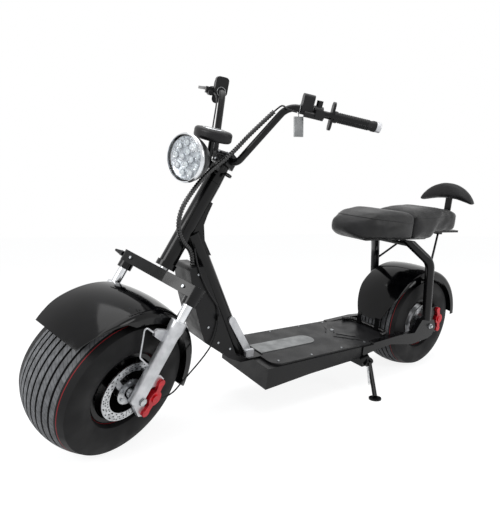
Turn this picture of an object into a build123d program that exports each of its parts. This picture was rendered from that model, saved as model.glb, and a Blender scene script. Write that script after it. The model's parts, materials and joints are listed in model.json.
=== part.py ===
from build123d import *
import os
from math import asin, cos, degrees, radians, sin, sqrt, tan

os.makedirs("parts", exist_ok=True)

# Fat-tyre electric chopper scooter, parked on its side stand with the bars on the left stop.
# All sizes are millimetres and degrees.
# Frame pieces are drawn upright: origin on the ground under the rear axle, +X ahead, +Y to
# the rider's left, +Z up. Steered pieces are drawn in the fork's own frame: origin at the
# front axle, +X square to the fork and ahead of it, +Y left, +Z up along the steering axis.

# Running gear
WHEELBASE = 1440
RAKE = 29
STEER_STOP = 22
LEAN = 8.5
RUNNING_GAP = 0.3

TYRE_R = 225
TYRE_HALF = 113
TREAD_HALF = 90
CROWN_R = TYRE_R + 15
TYRE_WALL = 10
BEAD_R = 102
BEAD_HALF = 84
BULGE_R = (TYRE_R + BEAD_R) / 2 + 1.5

RIM_WALL = 4
RIM_LIP_R = 110
RIM_HALF = 90
WEB_THICK = 8
WEB_Y = 18
HUB_R = 30
HUB_HALF = 60
AXLE_R = 7
AXLE_NUT = 21
NUT_THICK = 6
AXLE_RING_R = 13
RING_GAP = 1

ROTOR_R = 92
ROTOR_BAND = 25
ROTOR_THICK = 4
ROTOR_Y = 110
ROTOR_BOSS_R = 40
ROTOR_ARMS = 6
ROTOR_HOLES = 20
ROTOR_HOLE_R = 2.2
ROTOR_HOLE_ROWS = (-7.5, 0, 7.5)

MOTOR_R = 88
MOTOR_HALF = 62
MOTOR_CAP_R = 50

# Fork
LEG_Y = 148
LEG_R = 21
LEG_TOP = 244
LEG_FOOT = 20
COLLAR_R = 25
COLLAR_LONG = 24
STANCHION_R = 15
STANCHION_IN = 90
CLAMP_LOW = 318
CLAMP_THICK = 36
CLAMP_DEEP = 58
CLAMP_END_R = 24

# Head tube and handlebar
HEAD_LOW = 360
HEAD_TOP = 666
HEAD_R = 27
HEAD_WALL = 4
CUP_R = 32
CUP_LONG = 18
STEM_R = 14
YOKE_LONG = 70
YOKE_R = 24
BAR_R = 11
BAR_RISE = 752
BAR_CLAMP_HALF = 30
BAR_ROOT_GAP = 18
BEND_AHEAD = 24
BEND_Y = 134
BEND_UP = 970
GRIP_AHEAD = -138
GRIP_Y = 352
GRIP_UP = 1059
GRIP_R = 16
GRIP_LONG = 142

LAMP_R = 70
LAMP_DEEP = 70
LAMP_AHEAD = 160
LAMP_UP = 660
BEZEL_WALL = 4
BOWL_WALL = 3
BOWL_REAR_R = 38
LAMP_PAD_R = 20
DISPLAY_BACK = 106
DISPLAY_UP = 75
DISPLAY_LONG = 104
DISPLAY_WIDE = 124
DISPLAY_THICK = 34
DISPLAY_POST = 72

# Fenders
FENDER_R = TYRE_R + 37
FENDER_WALL = 3
FENDER_HALF = 121
FENDER_SHOULDER_R = FENDER_R - 26
FENDER_SIDE_R = FENDER_R - 46
FENDER_FRONT_ARC = (18, 172)
FENDER_REAR_ARC = (6, 174)
REAR_FENDER_HALF = FENDER_HALF + 2
FENDER_PIN_R = 228

# Frame: heights are taken from the axles, places along the scooter from the nearer axle
DECK_TOP = TYRE_R - 29
DECK_HALF = 147
DECK_FRONT = WHEELBASE - 506
DECK_REAR = 452
PAN_WALL = 3
PAN_RIM = 16
COVER_THICK = 8
COVER_FRONT = WHEELBASE - 535
COVER_REAR = 398
COVER_ROUND = 40
TAIL_REAR = 237
TAIL_THICK = 6
TUBE_R = 30
FOOT_HALF = 55
FOOT_THICK = 6
DOWN_TOP = (WHEELBASE - 246, 0, TYRE_R + 443)
DOWN_LOW = (WHEELBASE - 483, 0, TYRE_R - 38)
GUSSET_HALF = 20
SIDE_BAR_Y = TUBE_R
SIDE_BAR_THICK = 8

STAY_Y = 139
STAY_HALF = 13
DROPOUT_TOP = TYRE_R + 37
SEAT_LEG_R = 20
SEAT_LEG_Y = 154
SEAT_BEND = (82, SEAT_LEG_Y, TYRE_R + 307)
SEAT_TOP = (190, 80, TYRE_R + 407)
SEAT_PAN_LOW = TYRE_R + 395
SEAT_PAN_THICK = 10
SEAT_PAN_HALF = 70
SEAT_STEP = 30
SEAT_SPLIT = 181
POST_X = -239
PAD_REAR = -233
POST_HALF = 16
POST_THICK = 8
BACKREST_THICK = 42

BOX_HALF = 58
CABLE_R = 2.5
LOOM_R = 7.5
CONDUIT_R = 8.5

# Side stand
STAND_PIVOT = (DECK_REAR - 27, 168, TYRE_R - 89)
STAND_FOOT = (DECK_REAR + 45, 275)
STAND_FOLDED = (-0.97, 0.10, 0.10)
STAND_R = 9


def from_front(*points):
    """Side-view points given as distance behind the front axle and height over it."""
    return [(WHEELBASE - back, TYRE_R + up) for back, up in points]


def from_rear(*points):
    """Side-view points given as distance ahead of the rear axle and height over it."""
    return [(ahead, TYRE_R + up) for ahead, up in points]


def outline(points):
    """A closed straight-sided face through the points, in the plane in use."""
    with BuildLine() as edge_loop:
        Polyline(*points, close=True)
    return make_face(edge_loop.line.edges())


def fork_point(ahead, left, up):
    """A point given in the fork's frame, in the upright scooter's frame."""
    return Vector(
        WHEELBASE + ahead * cos(radians(RAKE)) - up * sin(radians(RAKE)),
        left,
        TYRE_R + ahead * sin(radians(RAKE)) + up * cos(radians(RAKE)),
    )


def tube(points, bends, outer, inner=0):
    """A round tube along straight runs joined by bends."""
    with BuildPart() as made:
        with BuildLine() as path:
            FilletPolyline(*points, radius=bends) if bends else Line(*points)
        with BuildSketch(Plane(origin=path.line @ 0, z_dir=path.line % 0)):
            Circle(outer)
            if inner:
                Circle(inner, mode=Mode.SUBTRACT)
        sweep(path=path.line)
    return made.part


# Wheels, each drawn about its own axle along Y
def tyre_outline(wall):
    """The tyre's section, or its cavity when a wall is taken off."""
    crown_drop = CROWN_R - sqrt(CROWN_R**2 - TREAD_HALF**2)
    top = TYRE_R - wall
    shoulder = (TREAD_HALF - wall, top - crown_drop)
    bead = (BEAD_HALF - wall, RIM_LIP_R + 1)
    with BuildLine() as section:
        ThreePointArc((-shoulder[0], shoulder[1]), (0, top), shoulder)
        ThreePointArc(shoulder, (TYRE_HALF - wall, BULGE_R), bead)
        Polyline(bead, (bead[0], BEAD_R), (-bead[0], BEAD_R), (-bead[0], bead[1]))
        ThreePointArc((-bead[0], bead[1]), (wall - TYRE_HALF, BULGE_R), (-shoulder[0], shoulder[1]))
    return section.line.edges()


with BuildPart() as tyre:
    with BuildSketch(Plane.YZ):
        make_face(tyre_outline(0))
        make_face(tyre_outline(TYRE_WALL), mode=Mode.SUBTRACT)
    revolve(axis=Axis.Y)


def rim_of(hub_r, hub_half, bore_r):
    """A deep rim: barrel with two lips, a web and a hub with its bore."""
    barrel_in = BEAD_R - RIM_WALL
    with BuildPart() as made:
        with BuildSketch(Plane.YZ):
            with BuildLine():
                Polyline(
                    (-RIM_HALF, RIM_LIP_R),
                    (-BEAD_HALF, RIM_LIP_R),
                    (-BEAD_HALF, BEAD_R),
                    (BEAD_HALF, BEAD_R),
                    (BEAD_HALF, RIM_LIP_R),
                    (RIM_HALF, RIM_LIP_R),
                    (RIM_HALF, barrel_in),
                    (WEB_Y + WEB_THICK, barrel_in - 4),
                    (WEB_Y + WEB_THICK, hub_r),
                    (hub_half, hub_r),
                    (hub_half, bore_r),
                    (-hub_half, bore_r),
                    (-hub_half, hub_r),
                    (WEB_Y, hub_r),
                    (WEB_Y, barrel_in - 4),
                    (-RIM_HALF, barrel_in),
                    close=True,
                )
            make_face()
        revolve(axis=Axis.Y)
    return made.part


front_rim = rim_of(HUB_R, HUB_HALF, AXLE_R + RUNNING_GAP)
rear_rim = rim_of(MOTOR_R, MOTOR_HALF, MOTOR_R - 6)

with BuildPart() as motor:
    with BuildSketch(Plane.YZ):
        with BuildLine():
            Polyline(
                (-MOTOR_HALF, AXLE_R + RUNNING_GAP),
                (-MOTOR_HALF, MOTOR_R - 6),
                (MOTOR_HALF, MOTOR_R - 6),
                (MOTOR_HALF + 10, MOTOR_CAP_R),
                (MOTOR_HALF + 22, MOTOR_CAP_R - 8),
                (MOTOR_HALF + 22, AXLE_R + RUNNING_GAP),
                close=True,
            )
        make_face()
    revolve(axis=Axis.Y)


def rotor_of(mount_half):
    """Brake rotor with swept arms and drilled band, on its boss from the hub."""
    band_in = ROTOR_R - ROTOR_BAND
    face = ROTOR_Y + ROTOR_THICK / 2
    with BuildPart() as made:
        with BuildSketch(Plane.XZ.offset(-face)):
            Circle(ROTOR_R)
            Circle(band_in, mode=Mode.SUBTRACT)
            for row, out in enumerate(ROTOR_HOLE_ROWS):
                middle = (band_in + ROTOR_R) / 2 + out
                with PolarLocations(middle, ROTOR_HOLES, start_angle=120 * row / ROTOR_HOLES):
                    Circle(ROTOR_HOLE_R, mode=Mode.SUBTRACT)
            with BuildLine() as arm:
                ThreePointArc((ROTOR_BOSS_R - 4, 0), (ROTOR_BOSS_R + 16, 5), (band_in + 3, 20))
                ThreePointArc((band_in + 1, 30), (ROTOR_BOSS_R + 8, 20), (ROTOR_BOSS_R - 8, 14))
                Line((ROTOR_BOSS_R - 8, 14), (ROTOR_BOSS_R - 4, 0))
                Line((band_in + 3, 20), (band_in + 1, 30))
            with PolarLocations(0, ROTOR_ARMS):
                make_face(arm.line.edges())
            Circle(ROTOR_BOSS_R)
            Circle(AXLE_R + 10, mode=Mode.SUBTRACT)
        extrude(amount=ROTOR_THICK)
        with BuildSketch(Plane.XZ.offset(-(ROTOR_Y - ROTOR_THICK / 2))):
            Circle(HUB_R)
            Circle(AXLE_R + 10, mode=Mode.SUBTRACT)
        extrude(amount=ROTOR_Y - ROTOR_THICK / 2 - mount_half)
    return made.part


front_rotor = rotor_of(HUB_HALF)
rear_rotor = rotor_of(MOTOR_HALF + 22)

RAKE_AHEAD = (cos(radians(RAKE)), 0, sin(radians(RAKE)))
RAKE_UP = (-sin(radians(RAKE)), 0, cos(radians(RAKE)))

# Parked placement: steering on its left stop, both tyres and the stand's foot on the ground
FORK_FRAME = Location(Plane(origin=(WHEELBASE, 0, TYRE_R), x_dir=RAKE_AHEAD, z_dir=RAKE_UP))
steered = FORK_FRAME * Rot(0, 0, STEER_STOP)


def direction(place, vector):
    """A direction carried along by a placement."""
    return (place * Pos(*vector)).position - place.position


def tyre_low(place, centre, axle):
    """Height of a crowned tyre's lowest point under a placement."""
    tip = direction(place, axle).Z
    return (place * Pos(*centre)).position.Z - CROWN_R - (TYRE_R - CROWN_R) * sqrt(1 - tip**2)


front_axle_dir = direction(steered, (0, 1, 0))
pitch = 0
for _ in range(20):
    parked = Rot(-LEAN, 0, 0) * Rot(0, pitch, 0)
    low_rear = tyre_low(parked, (0, 0, TYRE_R), (0, 1, 0))
    low_front = tyre_low(parked, (WHEELBASE, 0, TYRE_R), front_axle_dir)
    pitch += degrees(asin((low_front - low_rear) / WHEELBASE))
parked = Pos(0, 0, -low_rear) * parked
ground_up = direction(parked.inverse(), (0, 0, 1))



def as_steered(*points):
    """Upright-frame points as the parked fork's frame sees them."""
    return [tuple((steered.inverse() * Pos(*point)).position) for point in points]


# Steered group, in the fork's frame
LEVEL_X = (cos(radians(RAKE)), 0, -sin(radians(RAKE)))
LEVEL_Z = (sin(radians(RAKE)), 0, cos(radians(RAKE)))

with BuildPart() as front_axle:
    axle_half = LEG_Y + LEG_R + NUT_THICK
    with BuildSketch(Plane.XZ.offset(-axle_half)):
        Circle(AXLE_R)
    extrude(amount=2 * axle_half)
    for side in (-axle_half, LEG_Y + LEG_R):
        with BuildSketch(Plane.XZ.offset(-side - NUT_THICK)):
            RegularPolygon(AXLE_NUT / 2, 6, major_radius=False)
        extrude(amount=NUT_THICK)
    for side in (-1, 1):
        with BuildSketch(Plane.XZ.offset(-side * (LEG_Y - LEG_R))):
            Circle(AXLE_RING_R)
        extrude(amount=side * (LEG_Y - LEG_R - ROTOR_Y - ROTOR_THICK / 2 - RING_GAP))

# Brake bracket: an open C about the axle, on the inside of a fork leg or a dropout
BRACKET_IN = 118
BRACKET_OUT = 132
with BuildPart() as bracket:
    with BuildSketch(Plane.XZ.offset(-BRACKET_OUT)):
        outline((
            (-4, 74), (-72, 70), (-94, 62), (-94, 36), (-62, 30), (-50, 0),
            (-62, -30), (-94, -36), (-94, -62), (-72, -66), (-4, -20),
        ))
        Circle(AXLE_RING_R + RING_GAP, mode=Mode.SUBTRACT)
    extrude(amount=BRACKET_OUT - BRACKET_IN)

# Wire stay from the leg's lug round the fender's edge and back to the leg
FENDER_WIRE = ((58, 134, 186), (98, 126, 194), (54, 128, 108), (18, 139, 94))
FENDER_WIRE_R = 2.5
with BuildPart() as fork_legs:
    with BuildSketch(Plane.XY.offset(-LEG_FOOT)):
        with Locations((0, LEG_Y)):
            Circle(LEG_R)
    extrude(amount=LEG_FOOT + LEG_TOP - COLLAR_LONG)
    with BuildSketch(Plane.XY.offset(LEG_TOP - 2 * COLLAR_LONG)):
        with Locations((0, LEG_Y)):
            Circle(LEG_R)
    with BuildSketch(Plane.XY.offset(LEG_TOP - COLLAR_LONG)):
        with Locations((0, LEG_Y)):
            Circle(COLLAR_R)
    loft()
    with BuildSketch(Plane.XY.offset(LEG_TOP - COLLAR_LONG)):
        with Locations((0, LEG_Y)):
            Circle(COLLAR_R)
    extrude(amount=COLLAR_LONG)
    fillet(faces().sort_by(Axis.Z)[-1].edges(), 4)
    fillet(faces().sort_by(Axis.Z)[0].edges(), 8)
    # fender lug, and the pin that the fender's side is screwed to
    with BuildSketch(Plane.XZ.offset(-LEG_Y + 8)):
        outline(((LEG_R - 5, 170), (56, 178), (64, 188), (56, 200), (LEG_R - 5, 206)))
    extrude(amount=10)
    with BuildSketch(Plane.XZ.offset(-LEG_Y)):
        with Locations((0, FENDER_PIN_R)):
            Circle(6)
    extrude(amount=LEG_Y - FENDER_HALF)
    add(tube(FENDER_WIRE, (7, 14), FENDER_WIRE_R))
    with BuildSketch(Plane.XY.offset(LEG_TOP - STANCHION_IN)):
        with Locations((0, LEG_Y)):
            Circle(STANCHION_R + 0.1)
    extrude(amount=STANCHION_IN, mode=Mode.SUBTRACT)
    mirror(about=Plane.XZ)
    add(bracket.part)
    with BuildSketch(Plane.XZ.offset(-LEG_Y - LEG_R - 2)):
        Circle(AXLE_R + 0.1)
    extrude(amount=2 * (LEG_Y + LEG_R + 2), mode=Mode.SUBTRACT)

with BuildPart() as stanchions:
    with BuildSketch(Plane.XY.offset(LEG_TOP - STANCHION_IN + 2)):
        with Locations((0, LEG_Y), (0, -LEG_Y)):
            Circle(STANCHION_R)
    extrude(amount=STANCHION_IN - 2 + CLAMP_LOW + CLAMP_THICK - LEG_TOP)

with BuildPart() as triple_clamp:
    with BuildSketch(Plane.XY.offset(CLAMP_LOW)):
        with BuildLine():
            Polyline(
                (CLAMP_END_R, LEG_Y),
                (CLAMP_DEEP / 2, 40),
                (CLAMP_DEEP / 2, -40),
                (CLAMP_END_R, -LEG_Y),
                (-CLAMP_END_R, -LEG_Y),
                (-CLAMP_DEEP / 2, -40),
                (-CLAMP_DEEP / 2, 40),
                (-CLAMP_END_R, LEG_Y),
                close=True,
            )
        make_face()
        with Locations((0, LEG_Y), (0, -LEG_Y)):
            Circle(CLAMP_END_R)
            Circle(STANCHION_R + 0.1, mode=Mode.SUBTRACT)
    extrude(amount=CLAMP_THICK)

# Sockets under the clamp, and the stub at its far end
with BuildPart() as clamp_sockets:
    with BuildSketch(Plane.XY.offset(CLAMP_LOW - 22)):
        for side in (-1, 1):
            with Locations((0, side * LEG_Y)):
                Circle(CLAMP_END_R - 1)
                Circle(STANCHION_R + 0.1, mode=Mode.SUBTRACT)
    extrude(amount=22)

STUB_UP = CLAMP_LOW + CLAMP_THICK / 2
with BuildPart() as clamp_stub:
    with BuildSketch(Plane(origin=(12, 2 - LEG_Y - CLAMP_END_R, STUB_UP), z_dir=(0, -1, 0))):
        RegularPolygon(9, 6)
    extrude(amount=12)
    with BuildSketch(Plane(origin=(12, -10 - LEG_Y - CLAMP_END_R, STUB_UP), z_dir=(0, -1, 0))):
        Circle(8)
    with BuildSketch(Plane(origin=(12, -36 - LEG_Y - CLAMP_END_R, STUB_UP), z_dir=(0, -1, 0))):
        Circle(4)
    loft()
    with BuildSketch(Plane.XY.offset(CLAMP_LOW)):
        with Locations((0, -LEG_Y)):
            Circle(CLAMP_END_R)
    extrude(amount=CLAMP_THICK, mode=Mode.SUBTRACT)

with BuildPart() as steering_stem:
    with BuildSketch(Plane.XY.offset(CLAMP_LOW + CLAMP_THICK)):
        Circle(STEM_R)
    extrude(amount=HEAD_TOP - CLAMP_LOW - CLAMP_THICK)

with BuildPart() as bar_yoke:
    with BuildSketch(Plane.XY.offset(HEAD_TOP)):
        Circle(HEAD_R)
    with BuildSketch(Plane.XY.offset(HEAD_TOP + YOKE_LONG)):
        Circle(YOKE_R)
    loft()
    with BuildSketch(Plane.XZ.offset(-BAR_CLAMP_HALF)):
        with Locations((0, BAR_RISE)):
            Rectangle(2 * BAR_R + 22, 2 * BAR_R + 22)
    extrude(amount=2 * BAR_CLAMP_HALF)
    with BuildSketch(Plane.XZ.offset(-BAR_CLAMP_HALF)):
        with Locations((0, BAR_RISE)):
            Circle(BAR_R)
    extrude(amount=2 * BAR_CLAMP_HALF, mode=Mode.SUBTRACT)
    fillet(edges().filter_by(Axis.Y).group_by(Axis.Z)[-1], 10)

BAR_HALF_ROUTE = (
    (0, BAR_CLAMP_HALF + BAR_ROOT_GAP, BAR_RISE),
    (BEND_AHEAD, BEND_Y, BEND_UP),
    (GRIP_AHEAD, GRIP_Y, GRIP_UP),
)
bar_route = [(a, -y, u) for a, y, u in reversed(BAR_HALF_ROUTE)] + list(BAR_HALF_ROUTE)
handlebar = tube(bar_route, (60, 26, 26, 60), BAR_R)

grip_dir = (Vector(*BAR_HALF_ROUTE[2]) - Vector(*BAR_HALF_ROUTE[1])).normalized()
grip_end = Vector(*BAR_HALF_ROUTE[2])
with BuildPart() as grips:
    with BuildSketch(Plane(origin=grip_end - grip_dir * GRIP_LONG, z_dir=grip_dir)):
        Circle(GRIP_R)
        Circle(BAR_R + 0.1, mode=Mode.SUBTRACT)
    extrude(amount=GRIP_LONG - 1)
    mirror(about=Plane.XZ)

with BuildPart() as bar_ends:
    with BuildSketch(Plane(origin=grip_end, z_dir=grip_dir)):
        Circle(GRIP_R)
    extrude(amount=16)
    fillet(faces().sort_by(Axis.Y)[-1].edges(), 3)
    mirror(about=Plane.XZ)

# Lamp: bowl, ring and domed glass turned about the lamp's level axis
lamp_axis = Axis((LAMP_AHEAD, 0, LAMP_UP), LEVEL_X)
lamp_side = Plane(origin=(LAMP_AHEAD, 0, LAMP_UP), x_dir=LEVEL_Z, z_dir=(0, 1, 0))
lamp_plane = Plane(origin=(LAMP_AHEAD, 0, LAMP_UP), x_dir=(0, 1, 0), z_dir=LEVEL_X)
glass_r = LAMP_R - BEZEL_WALL
with BuildPart() as headlight:
    with BuildSketch(lamp_side):
        with BuildLine() as bowl:
            ThreePointArc((LAMP_R, -12), (LAMP_R - 14, -48), (BOWL_REAR_R, -LAMP_DEEP))
            Line((BOWL_REAR_R, -LAMP_DEEP), (0, -LAMP_DEEP))
            Line((0, -LAMP_DEEP), (0, BOWL_WALL - LAMP_DEEP))
            Line((0, BOWL_WALL - LAMP_DEEP), (BOWL_REAR_R - 1, BOWL_WALL - LAMP_DEEP))
            ThreePointArc(
                (BOWL_REAR_R - 1, BOWL_WALL - LAMP_DEEP), (LAMP_R - 17, -46), (LAMP_R - BOWL_WALL, -12),
            )
            Line((LAMP_R - BOWL_WALL, -12), (LAMP_R, -12))
        make_face(bowl.line.edges())
    revolve(axis=lamp_axis)

with BuildPart() as headlight_bezel:
    with BuildSketch(lamp_side):
        with BuildLine() as ring:
            Line((glass_r, -12), (LAMP_R, -12))
            ThreePointArc((LAMP_R, -12), (LAMP_R + 1, -4), (glass_r, 1))
            Line((glass_r, 1), (glass_r, -12))
        make_face(ring.line.edges())
    revolve(axis=lamp_axis)

GLASS_RISE = 10
GLASS_WALL = 3
dome_r = (glass_r**2 + GLASS_RISE**2) / (2 * GLASS_RISE)
half_drop = dome_r - sqrt(dome_r**2 - glass_r**2 / 4)
with BuildPart() as headlight_lens:
    with BuildSketch(lamp_side):
        with BuildLine() as glass:
            ThreePointArc((0, 6), (glass_r / 2, 6 - half_drop), (glass_r, 6 - GLASS_RISE))
            Line((glass_r, 6 - GLASS_RISE), (glass_r, 6 - GLASS_RISE - GLASS_WALL))
            ThreePointArc(
                (glass_r, 6 - GLASS_RISE - GLASS_WALL), (glass_r / 2, 6 - half_drop - GLASS_WALL),
                (0, 6 - GLASS_WALL),
            )
            Line((0, 6 - GLASS_WALL), (0, 6))
        make_face(glass.line.edges())
    revolve(axis=lamp_axis)

# Bracket from the yoke to the bowl's flat back, with the display's post
lamp_back = Vector(LAMP_AHEAD, 0, LAMP_UP) - Vector(*LEVEL_X) * LAMP_DEEP
display_middle = (
    Vector(LAMP_AHEAD, 0, LAMP_UP) - Vector(*LEVEL_X) * DISPLAY_BACK + Vector(*LEVEL_Z) * DISPLAY_UP
)
display_low = display_middle - Vector(*LEVEL_Z) * (DISPLAY_THICK / 2)
with BuildPart() as lamp_bracket:
    with BuildSketch(lamp_plane.offset(-LAMP_DEEP)):
        Circle(LAMP_PAD_R)
    extrude(amount=-6)
    with BuildSketch(Plane.XZ):
        outline((
            (10, 690), (10, 716), (lamp_back.X - 14, lamp_back.Z + 16),
            (lamp_back.X - 3, lamp_back.Z + 12), (lamp_back.X - 10, lamp_back.Z - 8),
        ))
    extrude(amount=16, both=True)
    with BuildSketch(Plane(origin=display_low - Vector(*LEVEL_Z) * DISPLAY_POST, z_dir=LEVEL_Z)):
        Circle(9)
    extrude(amount=DISPLAY_POST)
    with BuildSketch(Plane.XY.offset(HEAD_TOP)):
        Circle(HEAD_R)
    with BuildSketch(Plane.XY.offset(HEAD_TOP + YOKE_LONG)):
        Circle(YOKE_R)
    loft(mode=Mode.SUBTRACT)
    with BuildSketch(Plane.XZ):
        with Locations((0, BAR_RISE)):
            Rectangle(2 * BAR_R + 22, 2 * BAR_R + 22)
    extrude(amount=BAR_CLAMP_HALF, both=True, mode=Mode.SUBTRACT)


def fender_outline(half, wall):
    """Section of a fender across the wheel: crowned top, round shoulders, straight sides."""
    inside = half - wall
    top = FENDER_R - wall
    crown = (inside - 20, top - 9)
    with BuildLine() as section:
        ThreePointArc((-crown[0], crown[1]), (0, top), crown)
        ThreePointArc(crown, (inside - 6, top - 15), (inside, FENDER_SHOULDER_R))
        Line((inside, FENDER_SHOULDER_R), (inside, FENDER_SIDE_R))
        Line((inside, FENDER_SIDE_R), (-inside, FENDER_SIDE_R))
        Line((-inside, FENDER_SIDE_R), (-inside, FENDER_SHOULDER_R))
        ThreePointArc((-inside, FENDER_SHOULDER_R), (6 - inside, top - 15), (-crown[0], crown[1]))
    return section.line.edges()


def fender_of(half, arc_angles, tongue):
    """A fender round the axle; angles run up from straight ahead, the tongue is its front end."""
    front_angle, rear_angle = arc_angles
    start = radians(rear_angle)
    section = Plane(origin=(0, 0, 0), x_dir=(0, 1, 0), z_dir=(sin(start), 0, -cos(start)))
    low, middle, high = tongue
    with BuildPart() as made:
        with BuildSketch(section):
            make_face(fender_outline(half, 0))
            make_face(fender_outline(half, FENDER_WALL), mode=Mode.SUBTRACT)
        revolve(axis=Axis.Y, revolution_arc=rear_angle - front_angle)
        for side in (-1, 1):
            with BuildSketch(Plane.YZ):
                with BuildLine() as trim:
                    ThreePointArc(
                        (side * low[0], low[1]), (side * middle[0], middle[1]), (side * high[0], high[1]),
                    )
                    Polyline(
                        (side * high[0], high[1]), (side * (half + 20), high[1]),
                        (side * (half + 20), low[1] - 60), (side * low[0], low[1] - 60),
                        (side * low[0], low[1]),
                    )
                make_face(trim.line.edges())
            extrude(amount=FENDER_R + 20, mode=Mode.SUBTRACT)
    return made.part


# Front ends, as half-width and height over the axle
FRONT_TONGUE = ((91, 81), (110, 146), (FENDER_HALF + 1, 205))
REAR_TONGUE = ((62, 27), (98, 110), (REAR_FENDER_HALF + 1, 205))
with BuildPart() as front_fender:
    add(fender_of(FENDER_HALF, FENDER_FRONT_ARC, FRONT_TONGUE))
    with BuildSketch(Plane.XZ):
        outline((
            (20 - FENDER_R * 0.86, 72), (6 - FENDER_R, 33), (6 - FENDER_R, -20), (50 - FENDER_R, -20),
        ))
    extrude(amount=FENDER_HALF + 10, both=True, mode=Mode.SUBTRACT)

FOOT_Y = 51
FOOT_WIDE = 22
with BuildPart() as rear_fender:
    add(fender_of(REAR_FENDER_HALF, FENDER_REAR_ARC, REAR_TONGUE))
    for side in (-1, 1):
        with BuildSketch(Plane.XY.offset(COVER_THICK + DECK_TOP - TYRE_R)):
            with Locations((FENDER_R - 5, side * FOOT_Y)):
                Rectangle(6, FOOT_WIDE)
        extrude(amount=TYRE_R - DECK_TOP - COVER_THICK + 36)


# Brake calipers, drawn about their axle, straddling the rotor's rear edge
CALIPER_IN = 9
CALIPER_THICK = 10
CALIPER_SLOT = 3.5
REAR_CALIPER_TURN = 12


def caliper_of():
    """Two-piston caliper: a lobed body with the slot that the rotor runs in."""
    with BuildPart() as made:
        with BuildSketch(Plane.XZ.offset(-BRACKET_OUT - CALIPER_THICK)):
            with Locations((-84, 48), (-84, -48)):
                Circle(13)
            with Locations((-90, 0)):
                Circle(24)
            outline(((-94, 48), (-101, 0), (-94, -48), (-74, -48), (-80, 0), (-74, 48)))
        extrude(amount=CALIPER_THICK)
        with BuildSketch(Plane.XZ.offset(-BRACKET_OUT - CALIPER_THICK)):
            with Locations((-90, 0)):
                Circle(24)
        extrude(amount=BRACKET_OUT + CALIPER_THICK - ROTOR_Y + CALIPER_IN)
        with BuildSketch(Plane.XZ.offset(-BRACKET_OUT - CALIPER_THICK - 4)):
            with Locations((-90, 0)):
                Circle(13)
        extrude(amount=4)
        with BuildSketch(Plane.XZ.offset(-ROTOR_Y - CALIPER_SLOT)):
            Circle(ROTOR_R + 5)
        extrude(amount=2 * CALIPER_SLOT, mode=Mode.SUBTRACT)
    return made.part


front_caliper = caliper_of()
rear_caliper = caliper_of()

# Display pod over the yoke, behind the lamp
with BuildPart() as display:
    with BuildSketch(Plane(origin=display_low, x_dir=LEVEL_X, z_dir=LEVEL_Z)):
        Ellipse(DISPLAY_LONG / 2, DISPLAY_WIDE / 2)
    extrude(amount=DISPLAY_THICK)
    fillet(edges(), 11)

# Levers, switch pods and perches ride on the bar, left and right alike
PERCH_IN = 50
POD_IN = 54
PERCH_LONG = 28
MIRROR_HOLE_R = 4
MIRROR_HOLE_DEEP = 14
MIRROR_BOSS_TOP = 36
perch = grip_end - grip_dir * (GRIP_LONG + PERCH_IN)
lever_ahead = Vector(*LEVEL_X)
perch_up = lever_ahead.cross(grip_dir).normalized()
perch_plane = Plane(origin=perch - grip_dir * (PERCH_LONG / 2), x_dir=lever_ahead, z_dir=grip_dir)
with BuildPart() as lever_perches:
    with BuildSketch(perch_plane):
        Circle(BAR_R + 9)
        with Locations((BAR_R + 18, 4)):
            Rectangle(36, 22)
    extrude(amount=PERCH_LONG)
    # master cylinder ahead of the bar
    with BuildSketch(Plane(origin=perch - grip_dir * 46, x_dir=lever_ahead, z_dir=grip_dir)):
        with Locations((32, 12)):
            Circle(9)
    extrude(amount=60)
    # threaded boss for a mirror stem
    with BuildSketch(Plane(origin=perch + perch_up * 8, z_dir=perch_up)):
        Circle(10)
    extrude(amount=MIRROR_BOSS_TOP - 8)
    with BuildSketch(Plane(origin=perch + perch_up * MIRROR_BOSS_TOP, z_dir=perch_up)):
        Circle(MIRROR_HOLE_R)
    extrude(amount=-MIRROR_HOLE_DEEP, mode=Mode.SUBTRACT)
    with BuildSketch(Plane(origin=perch - grip_dir * 60, z_dir=grip_dir)):
        Circle(BAR_R + 0.1)
    extrude(amount=120, mode=Mode.SUBTRACT)
    mirror(about=Plane.XZ)

lever_from = PERCH_LONG / 2 + RUNNING_GAP
with BuildPart() as brake_levers:
    with BuildSketch(Plane(origin=perch, x_dir=grip_dir, z_dir=Vector(*LEVEL_Z)).offset(-5)):
        outline((
            (lever_from, -46), (40, -50), (150, -58), (168, -48), (166, -42), (150, -46), (44, -36),
            (lever_from, -26),
        ))
    extrude(amount=10)
    mirror(about=Plane.XZ)

POD_LONG = 34
POD_UP = 16
with BuildPart() as switch_pods:
    with BuildSketch(Plane(origin=perch - grip_dir * POD_IN, x_dir=lever_ahead, z_dir=grip_dir)):
        with Locations((0, -POD_UP)):
            RectangleRounded(44, 62, 12)
        Circle(BAR_R + 0.1, mode=Mode.SUBTRACT)
    extrude(amount=POD_LONG)
    mirror(about=Plane.XZ)

PLATE_THICK = 8
with BuildPart() as grip_plates:
    plate_at = grip_end - grip_dir * (GRIP_LONG + PLATE_THICK)
    with BuildSketch(Plane(origin=plate_at, x_dir=lever_ahead, z_dir=grip_dir)):
        SlotOverall(86, 29, rotation=90)
        Circle(BAR_R + 0.1, mode=Mode.SUBTRACT)
    extrude(amount=PLATE_THICK)
    mirror(about=Plane.XZ)

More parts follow.
